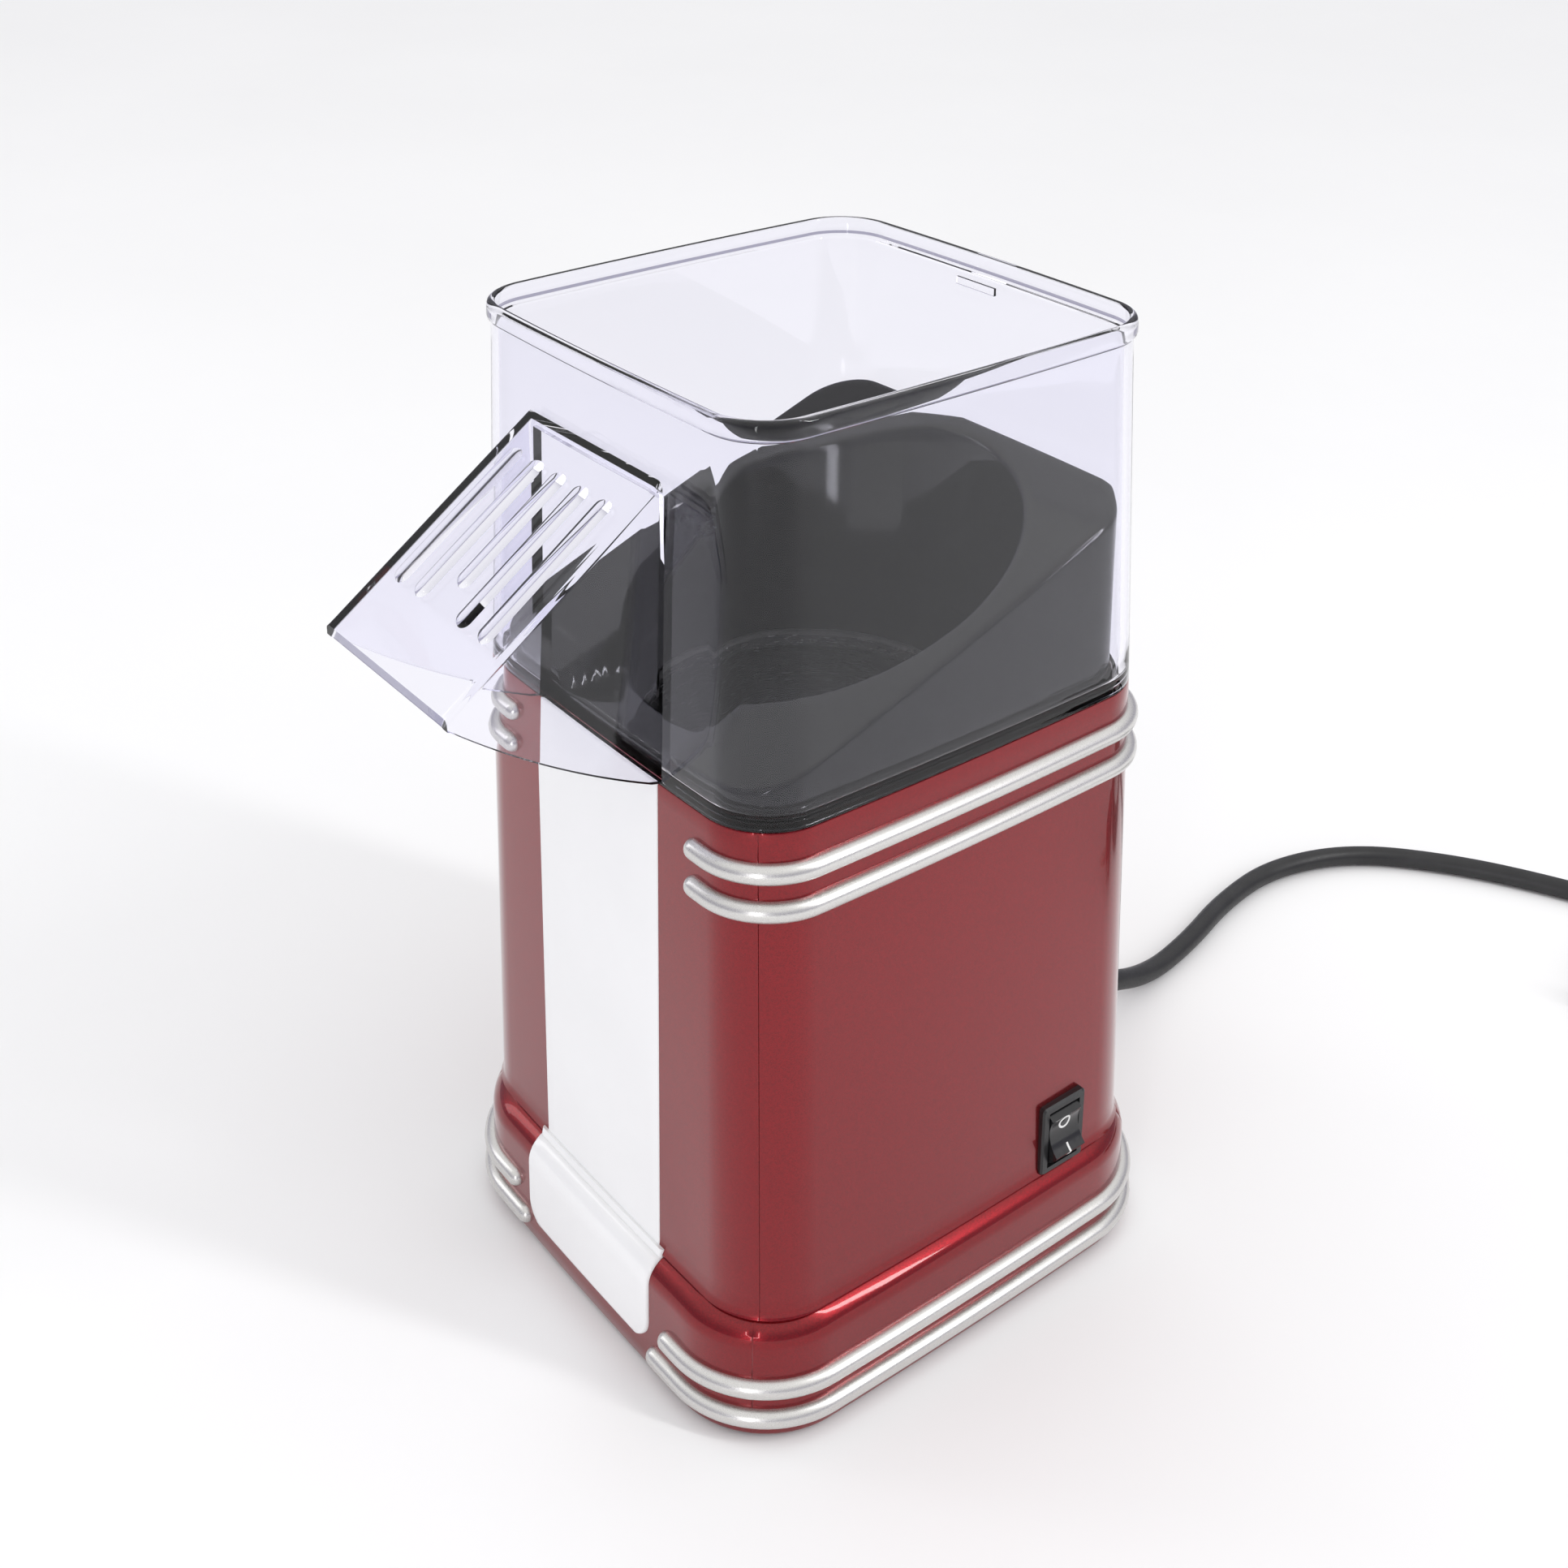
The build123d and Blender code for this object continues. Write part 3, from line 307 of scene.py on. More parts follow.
# Chamber metal with a painted highlight at the rim and painted shade below it.
CHAMBER_METAL_PAINTED_HIGHLIGHT_AND_SHADE = chamber_metal_painted_highlight_and_shade()
TIN = brushed_metal("tinned_steel", (0.62, 0.62, 0.62), 0.33)
SCREW_STEEL = brushed_metal("zinc_steel", (0.56, 0.57, 0.58), 0.34)
SHAFT_STEEL = brushed_metal("ground_steel", (0.60, 0.60, 0.61), 0.2, True)
HEATER_WIRE = brushed_metal("heater_wire", (0.30, 0.27, 0.24), 0.45)
BRASS = brushed_metal("stamped_brass", (0.78, 0.60, 0.30), 0.28)
NICKEL = brushed_metal("nickel_plate", (0.72, 0.69, 0.62), 0.22, True)
SEAL_DARK = finish_material("silicone_seal", (0.020, 0.020, 0.020), (0.032, 0.032, 0.031), 0.6,
                            0.0, 900.0, 0.00005)
MICA = finish_material("mica_board", (0.42, 0.33, 0.21), (0.60, 0.50, 0.35), 0.55, 0.0, 700.0,
                       0.0001, mottle=300.0)
BOARD = finish_material("phenolic_board", (0.33, 0.20, 0.07), (0.42, 0.27, 0.11), 0.5, 0.0,
                        1200.0, 0.00004)
LEAD_WHITE = finish_material("silicone_lead", (0.66, 0.64, 0.58), (0.76, 0.74, 0.69), 0.55, 0.0,
                             1800.0, 0.00004)
FLOOR = finish_material("studio_floor", (0.93, 0.93, 0.93), (0.95, 0.95, 0.95), 0.85, 0.0, 60.0,
                        0.0001, mottle=3.0, strength=0.05, specular=0.1)


# Mesh building

def build(name, verts, faces, material, body=None, sharp=34.0):
    """A mesh piece from millimetre points, smooth but for edges sharper than the angle given."""
    mesh = bpy.data.meshes.new(name)
    mesh.from_pydata([at(*v) for v in verts], [], faces)
    piece = bpy.data.objects.new(name, mesh)
    bpy.context.scene.collection.objects.link(piece)
    mesh.materials.append(material)
    clean(piece, sharp)
    if body:
        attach(piece, body)
    return piece


def clean(piece, sharp=34.0):
    """Welds, turns the normals outwards and marks the sharp edges."""
    work = bmesh.new()
    work.from_mesh(piece.data)
    bmesh.ops.remove_doubles(work, verts=work.verts, dist=1e-7)
    bmesh.ops.dissolve_degenerate(work, dist=1e-7, edges=work.edges)
    bmesh.ops.recalc_face_normals(work, faces=work.faces)
    for face in work.faces:
        face.smooth = True
    for edge in work.edges:
        edge.smooth = edge.calc_face_angle(0.0) < math.radians(sharp)
    work.to_mesh(piece.data)
    work.free()


def loft(rings, closed=False, caps=True):
    """Points and faces of a skin over equal rings; closed joins the last ring to the first."""
    count = len(rings[0])
    verts = [point for ring in rings for point in ring]
    faces = []
    last = len(rings) if closed else len(rings) - 1
    for i in range(last):
        a = i * count
        b = (i + 1) % len(rings) * count
        for j in range(count):
            k = (j + 1) % count
            faces.append((a + j, a + k, b + k, b + j))
    if caps and not closed:
        faces.append(tuple(reversed(range(count))))
        faces.append(tuple(range(len(verts) - count, len(verts))))
    return verts, faces


def bowed(x, y, half_x, half_y, crown=CROWN):
    """Bows the straight sides of a rounded rectangle outwards."""
    px = half_x - crown
    py = half_y - crown
    new_x = x * (1 + crown / px * (1 - min(1.0, abs(y) / py) ** 2))
    new_y = y * (1 + crown / py * (1 - min(1.0, abs(x) / px) ** 2))
    return new_x, new_y


def outline(size, z, grow=0.0, seam=0.0):
    """One ring of a rounded rectangle with bowed sides, with a fine seam at each corner."""
    half_x = size[0] + grow
    half_y = size[1] + grow
    corner = max(size[2] + grow, 0.5)
    px = half_x - CROWN
    py = half_y - CROWN
    angles = [90.0 * i / CORNER_STEPS for i in range(CORNER_STEPS + 1)]
    angles[CORNER_STEPS // 2:CORNER_STEPS // 2 + 1] = [45 - SEAM_DEG, 45.0, 45 + SEAM_DEG]
    ring = []
    for quarter, (sx, sy) in enumerate(((1, 1), (-1, 1), (-1, -1), (1, -1))):
        for angle in angles:
            turn = math.radians(quarter * 90 + angle)
            reach = corner - (seam if angle == 45.0 else 0.0)
            x = sx * (px - corner) + reach * math.cos(turn)
            y = sy * (py - corner) + reach * math.sin(turn)
            ring.append((x, y))
        start = ring[-1]
        if quarter % 2 == 0:
            end = (-sx * (px - corner), sy * py)
        else:
            end = (sx * px, -sy * (py - corner))
        for i in range(1, SIDE_STEPS):
            t = i / SIDE_STEPS
            ring.append((start[0] + (end[0] - start[0]) * t, start[1] + (end[1] - start[1]) * t))
    return [(*bowed(x, y, half_x, half_y), z) for x, y in ring]


def between(low, high, z0, z1, z):
    t = (z - z0) / (z1 - z0)
    return tuple(a + (b - a) * t for a, b in zip(low, high))


def tower_size(z):
    return between(FOOT_OUTLINE, TOP_OUTLINE, TOWER_FOOT_Z, TOWER_TOP_Z, z)


def base_size(z):
    return between(BASE_OUTLINE, SHOULDER_OUTLINE, BASE_BOTTOM_Z, TOWER_FOOT_Z, z)


def hood_size(z):
    return between(TOP_OUTLINE, HOOD_TOP_OUTLINE, TOWER_TOP_Z, TOTAL_H, max(z, TOWER_TOP_Z))


def combine(piece, tool, operation):
    """Applies one exact boolean and removes the tool."""
    modifier = piece.modifiers.new("combine", "BOOLEAN")
    modifier.operation = operation
    modifier.solver = "EXACT"
    modifier.object = tool
    graph = bpy.context.evaluated_depsgraph_get()
    mesh = bpy.data.meshes.new_from_object(piece.evaluated_get(graph))
    piece.modifiers.clear()
    piece.data = mesh
    bpy.data.objects.remove(tool)


def box_tool(low, high):
    """A plain box between two corners, to cut with or to add."""
    corners = [(x, y, z) for z in (low[2], high[2]) for x, y in
               ((low[0], low[1]), (high[0], low[1]), (high[0], high[1]), (low[0], high[1]))]
    faces = [(3, 2, 1, 0), (4, 5, 6, 7), (0, 1, 5, 4), (1, 2, 6, 5), (2, 3, 7, 6), (3, 0, 4, 7)]
    return build("tool", corners, faces, CLEAR)


def steps(start, end, count):
    return [start + (end - start) * i / (count - 1) for i in range(count)]


def arc_profile(centre, radius, start_deg, end_deg, count):
    """Points of an arc in a plane of inset and height."""
    points = []
    for angle in steps(math.radians(start_deg), math.radians(end_deg), count):
        points.append((centre[0] + radius * math.cos(angle), centre[1] + radius * math.sin(angle)))
    return points


# Housing

def shoulder_profile():
    """Grow and height from the tower's foot round the shoulder, from the skirt's outline."""
    return arc_profile((-SHOULDER_R, TOWER_FOOT_Z - SHOULDER_R), SHOULDER_R, 66.0, 0.0, 14)


def housing():
    """Tower, shoulder and skirt as one shell, with seams at its corners."""
    rings = []
    for z in steps(TOWER_TOP_Z - 0.5, TOWER_FOOT_Z + JOIN_R, 34):
        rings.append(outline(tower_size(z), z, 0.0, SEAM_DEPTH))
    foot = tower_size(TOWER_FOOT_Z)
    rings.append(outline(foot, TOWER_FOOT_Z + JOIN_R - 1.2, 0.15, SEAM_DEPTH))
    rings.append(outline(foot, TOWER_FOOT_Z + 0.2, 0.7, SEAM_DEPTH))
    for grow, z in shoulder_profile():
        rings.append(outline(base_size(z), z, grow, SEAM_DEPTH))
    for z in steps(TOWER_FOOT_Z - SHOULDER_R - 2, BASE_BOTTOM_Z + 0.8, 8):
        rings.append(outline(base_size(z), z, 0.0, SEAM_DEPTH))
    for z, grow in ((BASE_BOTTOM_Z + 0.2, -0.25), (BASE_BOTTOM_Z, -0.8), (BASE_BOTTOM_Z, -WALL)):
        rings.append(outline(base_size(BASE_BOTTOM_Z), z, grow))
    rings.append(outline(base_size(INSIDE_STEP_LOW_Z), INSIDE_STEP_LOW_Z, -WALL))
    rings.append(outline(tower_size(INSIDE_STEP_HIGH_Z), INSIDE_STEP_HIGH_Z, -WALL))
    for z in steps(INSIDE_TOWER_Z, TOWER_TOP_Z - 0.6, 6):
        rings.append(outline(tower_size(z), z, -WALL))
    rings.append(outline(TOP_OUTLINE, TOWER_TOP_Z, -WALL + 0.4))
    rings.append(outline(TOP_OUTLINE, TOWER_TOP_Z, -0.5))
    rings.append(outline(TOP_OUTLINE, TOWER_TOP_Z - 0.15, -0.12))
    verts, faces = loft(rings, closed=True)
    shell = build("housing_shell", verts, faces, RED)
    y = (BEZEL_LOW.y + BEZEL_HIGH.y) / 2 - AXIS_Y
    z = (BEZEL_LOW.z + BEZEL_HIGH.z) / 2
    half_w = (BEZEL_HIGH.y - BEZEL_LOW.y) / 2 - 1.0
    half_h = (BEZEL_HIGH.z - BEZEL_LOW.z) / 2 - 0.9
    inside_x, outside_x = SWITCH_HOLE_X
    switch_hole = box_tool((inside_x, y - half_w, z - half_h), (outside_x, y + half_w, z + half_h))
    combine(shell, switch_hole, "DIFFERENCE")
    gland_z = (GLAND_LOW.z + GLAND_HIGH.z) / 2
    cord_hole = round_tool(0, BASE_OUTLINE[1], gland_z, CORD_HOLE_R, 14)
    combine(shell, cord_hole, "DIFFERENCE")
    clean(shell, 30.0)
    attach(shell, "base")
    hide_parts("body_housing")


def round_tool(x, y, z, radius, length):
    """A cylinder along Y, as a cutting tool."""
    rings = []
    for dy in (-length / 2, length / 2):
        turns = [math.tau * i / 32 for i in range(32)]
        rings.append([(x + radius * math.cos(t), y + dy, z + radius * math.sin(t)) for t in turns])
    verts, faces = loft(rings)
    return build("tool", verts, faces, CLEAR)


# Trim bars

def bar_path(size, z, start_x, side):
    """The centre line of a bar: front face, round the side, to the back face."""
    ring = outline(size, z)
    points = [p for p in ring if p[0] * side >= start_x - 1e-6]
    points.sort(key=lambda p: math.atan2(p[1], p[0] * side))
    for end in (0, -1):
        limit = (start_x * side, points[end][1], z)
        points.insert(0 if end == 0 else len(points), limit)
    return [Vector(p) for p in points]


def bar(name, size, z, start_x, side):
    """A round bar with domed ends, half sunk in the surface it lies on."""
    path = bar_path(size, z, start_x, side)
    dome = [(BAR_R * (1 - math.cos(t)), BAR_R * math.sin(t)) for t in steps(0.12, math.pi / 2, 6)]
    stations = []
    first = (path[0] - path[1]).normalized()
    last = (path[-1] - path[-2]).normalized()
    for along, radius in dome[:-1]:
        stations.append((path[0] + first * (BAR_R - along), first, radius))
    for i, point in enumerate(path):
        before = path[max(i - 1, 0)]
        after = path[min(i + 1, len(path) - 1)]
        stations.append((point, (before - after).normalized(), BAR_R))
    for along, radius in reversed(dome[:-1]):
        stations.append((path[-1] + last * (BAR_R - along), -last, radius))
    rings = []
    for centre, direction, radius in stations:
        across = direction.cross(Vector((0, 0, 1))).normalized()
        ring = []
        for i in range(20):
            t = math.tau * i / 20
            rise = Vector((0, 0, radius * math.sin(t)))
            ring.append(tuple(centre + across * radius * math.cos(t) + rise))
        rings.append(ring)
    verts, faces = loft(rings)
    return build(name, verts, faces, SILVER, "base", 50.0)


def trim_bars():
    for side, word in ((1, "right"), (-1, "left")):
        upper = [bar(f"upper_bar_{word}_{i}", tower_size(z), z, x, side)
                 for i, (z, x) in enumerate(UPPER_BARS)]
        lower = [bar(f"base_bar_{word}_{i}", base_size(z), z, x, side)
                 for i, (z, x) in enumerate(BASE_BARS)]
        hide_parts(f"trim_bars_upper_{word}")
        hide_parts(f"trim_bars_base_{word}")


# Front strip and base plate

def front_y(size, x, grow):
    """The front face's place at x, on an outline grown outwards."""
    half_y = size[1] + grow
    px = size[0] + grow - CROWN
    return -(half_y - CROWN) - CROWN * (1 - (x / px) ** 2)


def edge_round(distance, radius):
    """How far a rounded edge falls back at a distance from the edge."""
    if distance >= radius:
        return 0.0
    return radius - math.sqrt(max(radius ** 2 - (radius - distance) ** 2, 0.0))


def skin(name, columns, rows, surface, depth, material):
    """A thin moulding: a grid on a surface, its edges rolled down into the part behind."""
    verts = []
    faces = []
    for row in rows:
        for column in columns:
            verts.append(surface(column, row, 0.0))
    wide = len(columns)
    tall = len(rows)
    for j in range(tall - 1):
        for i in range(wide - 1):
            a = j * wide + i
            faces.append((a, a + 1, a + wide + 1, a + wide))
    offset = len(verts)
    for row in rows:
        for column in columns:
            verts.append(surface(column, row, depth))
    for j in range(tall - 1):
        for i in range(wide - 1):
            a = offset + j * wide + i
            faces.append((a, a + wide, a + wide + 1, a + 1))
    rim = list(range(wide)) + [j * wide + wide - 1 for j in range(1, tall)]
    rim += [(tall - 1) * wide + i for i in range(wide - 2, -1, -1)]
    rim += [j * wide for j in range(tall - 2, 0, -1)]
    for a, b in zip(rim, rim[1:] + rim[:1]):
        faces.append((a, b, b + offset, a + offset))
    return build(name, verts, faces, material, "base", 40.0)


def graded(low, high, edge, count):
    """Values from low to high, with extra ones near both ends."""
    near = [0.0, edge * 0.15, edge * 0.4, edge * 0.7, edge]
    middle = steps(low + edge, high - edge, count)[1:-1]
    return [low + d for d in near] + middle + [high - d for d in reversed(near)]


def front_strip():
    edge = 0.5

    def surface(x, z, depth):
        fall = edge_round(min(STRIP_HALF_W - abs(x), TOWER_TOP_Z - z), edge)
        return (x, front_y(tower_size(z), x, STRIP_PROUD - fall - depth), z)

    columns = graded(-STRIP_HALF_W, STRIP_HALF_W, edge, 16)
    rows = graded(TOWER_FOOT_Z + 0.4, TOWER_TOP_Z, edge, 20)
    piece = skin("front_strip_panel", columns, rows, surface, 1.4, WHITE)
    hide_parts("front_strip")


def plate_line():
    """Grow, height and length along the plate's middle, from the tower's foot to its lower edge."""
    start = (tower_size(TOWER_FOOT_Z)[1] - base_size(TOWER_FOOT_Z)[1] + 0.2, TOWER_FOOT_Z + 1.6)
    points = [start] + shoulder_profile()
    for z in steps(TOWER_FOOT_Z - SHOULDER_R - 1.5, PLATE_BOTTOM_Z, 10):
        points.append((0.0, z))
    run = [0.0]
    for a, b in zip(points[:-1], points[1:]):
        run.append(run[-1] + math.dist(a, b))
    return points, run


def base_plate_cover():
    """The white plate that wraps the shoulder, with a rolled edge and rounded lower corners."""
    points, run = plate_line()
    edge = 0.9
    length = run[-1]

    def place(distance):
        for (a, ra), (b, rb) in zip(zip(points[:-1], run[:-1]), zip(points[1:], run[1:])):
            if distance <= rb:
                t = (distance - ra) / (rb - ra)
                return tuple(p + (q - p) * t for p, q in zip(a, b)), (b[0] - a[0], b[1] - a[1])
        return points[-1], (0.0, -1.0)

    def surface(u, v, depth):
        row = min(max(v, 0.0), length)
        half = PLATE_HALF_W
        from_end = length - row
        if from_end < PLATE_CORNER:
            half -= PLATE_CORNER - math.sqrt(PLATE_CORNER ** 2 - (PLATE_CORNER - from_end) ** 2)
        x = u * half
        fall = edge_round(min(half - abs(x), from_end), edge)
        (grow, z), (dg, dz) = place(row)
        size = math.hypot(dg, dz)
        out = PLATE_PROUD - fall - depth
        return (x, front_y(base_size(z), x, grow - dz / size * out), z + dg / size * out)

    sides = [d / PLATE_HALF_W for d in graded(-PLATE_HALF_W, PLATE_HALF_W, edge, 18)]
    rows = steps(0.0, length - PLATE_CORNER, 22)
    rows += [length - PLATE_CORNER * (1 - math.sin(t)) for t in steps(0.12, math.pi / 2, 9)]
    piece = skin("base_plate_cover", sides, rows, surface, 1.6, WHITE)
    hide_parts("front_base_plate")


# Hood and spout

def hood_shell():
    """The hood's wall with its rim above and its lip below, as one closed skin."""
    rings = []
    for z in steps(TOWER_TOP_Z + 0.3, TOTAL_H - RIM_H - 0.9, 20):
        rings.append((z, 0.0))
    rim_z = TOTAL_H - RIM_H
    rings += [(rim_z - 0.3, 0.1), (rim_z, 0.4), (rim_z + 0.35, 0.8), (rim_z + 0.9, RIM_PROUD)]
    rings += [(TOTAL_H - 1.1, RIM_PROUD), (TOTAL_H - 0.5, RIM_PROUD - 0.2)]
    rings += [(TOTAL_H - 0.12, RIM_PROUD - 0.6), (TOTAL_H, 0.0), (TOTAL_H, -0.4)]
    rings += [(TOTAL_H - 0.12, -0.75), (TOTAL_H - 0.5, -1.0), (TOTAL_H - 4.6, -1.1)]
    rings += [(TOTAL_H - 5.0, -1.3), (TOTAL_H - 5.2, -1.9)]
    for z in steps(TOTAL_H - 5.6, TOWER_TOP_Z + 4.0, 16):
        rings.append((z, -HOOD_WALL))
    rings += [(TOWER_TOP_Z + 2.6, -2.5), (TOWER_TOP_Z + 1.6, -3.3), (TOWER_TOP_Z + 1.2, -3.7)]
    rings += [(LIP_LOW_Z + 0.3, -3.7), (LIP_LOW_Z, -3.4), (LIP_LOW_Z, -2.8)]
    rings += [(LIP_LOW_Z + 0.3, -2.5), (TOWER_TOP_Z - 0.3, -2.5)]
    rings += [(TOWER_TOP_Z, -2.3), (TOWER_TOP_Z, -0.35)]
    rings.append((TOWER_TOP_Z + 0.08, -0.1))
    verts, faces = loft([outline(hood_size(z), z, grow) for z, grow in rings], closed=True)
    return build("hood_cover", verts, faces, CLEAR)


def spout_top(y):
    wall_y = -hood_size(SPOUT_TOP_Z)[1]
    return SPOUT_TOP_Z + (SPOUT_TIP[1] - SPOUT_TOP_Z) * (y - wall_y) / (SPOUT_TIP[0] - wall_y)


def circle_through(a, b, c):
    """Centre and radius of the circle through three points of a plane."""
    ax, ay = a
    bx, by = b
    cx, cy = c
    d = 2 * (ax * (by - cy) + bx * (cy - ay) + cx * (ay - by))
    aa, bb, cc = ax**2 + ay**2, bx**2 + by**2, cx**2 + cy**2
    ux = (aa * (by - cy) + bb * (cy - ay) + cc * (ay - by)) / d
    uy = (aa * (cx - bx) + bb * (ax - cx) + cc * (bx - ax)) / d
    return (ux, uy), math.hypot(ax - ux, ay - uy)


def spout_edge():
    """The height of the cheeks' lower edge, as a function of y."""
    foot = (-TOP_OUTLINE[1] + 0.4, TOWER_TOP_Z + 0.05)
    tip = (SPOUT_TIP[0], SPOUT_TIP[1] - SPOUT_WALL - 0.4)
    (cy, cz), radius = circle_through(tip, SPOUT_EDGE_MIDDLE, foot)
    sign = 1 if SPOUT_EDGE_MIDDLE[1] > cz else -1

    def height(y):
        if y > foot[0]:
            return foot[1]
        return cz + sign * math.sqrt(max(radius ** 2 - (y - cy) ** 2, 0.0))

    return height


def spout_body():
    """Top plate and cheeks: an upturned channel, its cheeks shallower towards the tip."""
    edge = spout_edge()
    root_y = -hood_size(TOWER_TOP_Z + 30)[1] + 1.2
    drop = SPOUT_WALL / math.cos(math.atan2(SPOUT_TOP_Z - SPOUT_TIP[1], root_y - SPOUT_TIP[0]))
    bend = 1.6
    inner_bend = 0.6
    half = SPOUT_HALF_W
    inner = half - SPOUT_WALL
    ys = [root_y] + steps(-66.0, -111.0, 24) + [-113.5, -114.8, SPOUT_TIP[0]]
    rings = []
    for y in ys:
        top = spout_top(y)
        low = min(edge(y), top - drop - 0.2)
        under = max(top - drop, low + 0.1)
        bend_z = min(bend, (top - low) * 0.45)
        section = [(half, low)]
        for t in steps(0.0, math.pi / 2, 6):
            section.append((half - bend + bend * math.cos(t), top - bend_z + bend_z * math.sin(t)))
        for x in steps(half - bend - 1, -(half - bend - 1), 22):
            section.append((x, top))
        for t in steps(math.pi / 2, math.pi, 6):
            section.append((-half + bend + bend * math.cos(t), top - bend_z + bend_z * math.sin(t)))
        section += [(-half, low), (-inner, low)]
        bend_in = min(inner_bend, (under - low) * 0.45)
        flat = inner - inner_bend
        for t in steps(math.pi, math.pi / 2, 4):
            z = under - bend_in + bend_in * math.sin(t)
            section.append((-flat + inner_bend * math.cos(t), z))
        for x in steps(-(flat - 1), flat - 1, 22):
            section.append((x, under))
        for t in steps(math.pi / 2, 0.0, 4):
            z = under - bend_in + bend_in * math.sin(t)
            section.append((flat + inner_bend * math.cos(t), z))
        section.append((inner, low))
        rings.append([(x, y, z) for x, z in section])
    verts, faces = loft(rings)
    return build("tool", verts, faces, CLEAR)


def rib(x, length):
    """One raised rib: a long half-round with domed ends, sunk into the top plate."""
    wall_y = -hood_size(SPOUT_TOP_Z)[1]
    slope = math.atan2(SPOUT_TOP_Z - SPOUT_TIP[1], wall_y - SPOUT_TIP[0])
    along = Vector((0, -math.cos(slope), -math.sin(slope)))
    up = Vector((0, -math.sin(slope), math.cos(slope)))
    start_y = wall_y - RIB_START
    start = Vector((x, start_y, spout_top(start_y))) + up * (RIB_H - RIB_R)
    stations = [(-RIB_R * math.cos(t), RIB_R * math.sin(t)) for t in steps(0.15, math.pi / 2, 7)]
    stations += [(d, RIB_R) for d in steps(length * 0.1, length * 0.9, 8)]
    stations += [(length + RIB_R * math.sin(t), RIB_R * math.cos(t))
                 for t in steps(0.0, math.pi / 2 - 0.15, 7)]
    rings = []
    for distance, radius in stations:
        centre = start + along * distance
        ring = []
        for i in range(24):
            t = math.tau * i / 24
            lift = max(radius * math.sin(t), -0.45 * radius)
            ring.append(tuple(centre + Vector((radius * math.cos(t), 0, 0)) + up * lift))
        rings.append(ring)
    verts, faces = loft(rings)
    return build("tool", verts, faces, CLEAR)


def hood():
    cover = hood_shell()
    gate_half = SPOUT_HALF_W - SPOUT_WALL
    gate = box_tool((-gate_half, -80, LIP_LOW_Z - 2), (gate_half, -45, SPOUT_TOP_Z - 5))
    combine(cover, gate, "DIFFERENCE")
    spout = spout_body()
    for x, length in zip(RIB_XS, RIB_LENGTHS):
        combine(spout, rib(x, length), "UNION")
    combine(cover, spout, "UNION")
    tab_y = hood_size(TOTAL_H - 7)[1] - HOOD_WALL
    tab = box_tool((-11, tab_y - 0.7, TOTAL_H - 9), (3, tab_y + 1.0, TOTAL_H - 7))
    combine(cover, tab, "UNION")
    clean(cover, 28.0)
    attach(cover, "hood")
    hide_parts("hood")


# Funnel

def funnel_slope(y):
    half_y = FUNNEL_HALF[1]
    return FUNNEL_FRONT_Z + (FUNNEL_BACK_Z - FUNNEL_FRONT_Z) * (y + half_y) / (2 * half_y)


def smooth_step(value):
    t = min(max(value, 0.0), 1.0)
    return t * t * (3 - 2 * t)


def funnel_top(x, y):
    """The funnel's upper face: a slope, with the channel to the spout let into its front."""
    slope = funnel_slope(y)
    inside = smooth_step((CHANNEL_HALF_W + 1.2 - abs(x)) / 2.4) * smooth_step((-y - 20.0) / 6.0)
    return slope + (min(LIP_Z, slope) - slope) * inside


def ray_to_outline(angle, ring):
    """Where a ray from the axis meets a ring."""
    direction = Vector((math.cos(angle), math.sin(angle)))
    for a, b in zip(ring, ring[1:] + ring[:1]):
        p = Vector(a[:2])
        edge = Vector(b[:2]) - p
        cross = direction.x * edge.y - direction.y * edge.x
        if abs(cross) < 1e-9:
            continue
        reach = (p.x * edge.y - p.y * edge.x) / cross
        share = (p.x * direction.y - p.y * direction.x) / cross
        if reach > 0 and -1e-6 <= share <= 1 + 1e-6:
            return reach
    raise ValueError("the outline doesn't go round the axis")


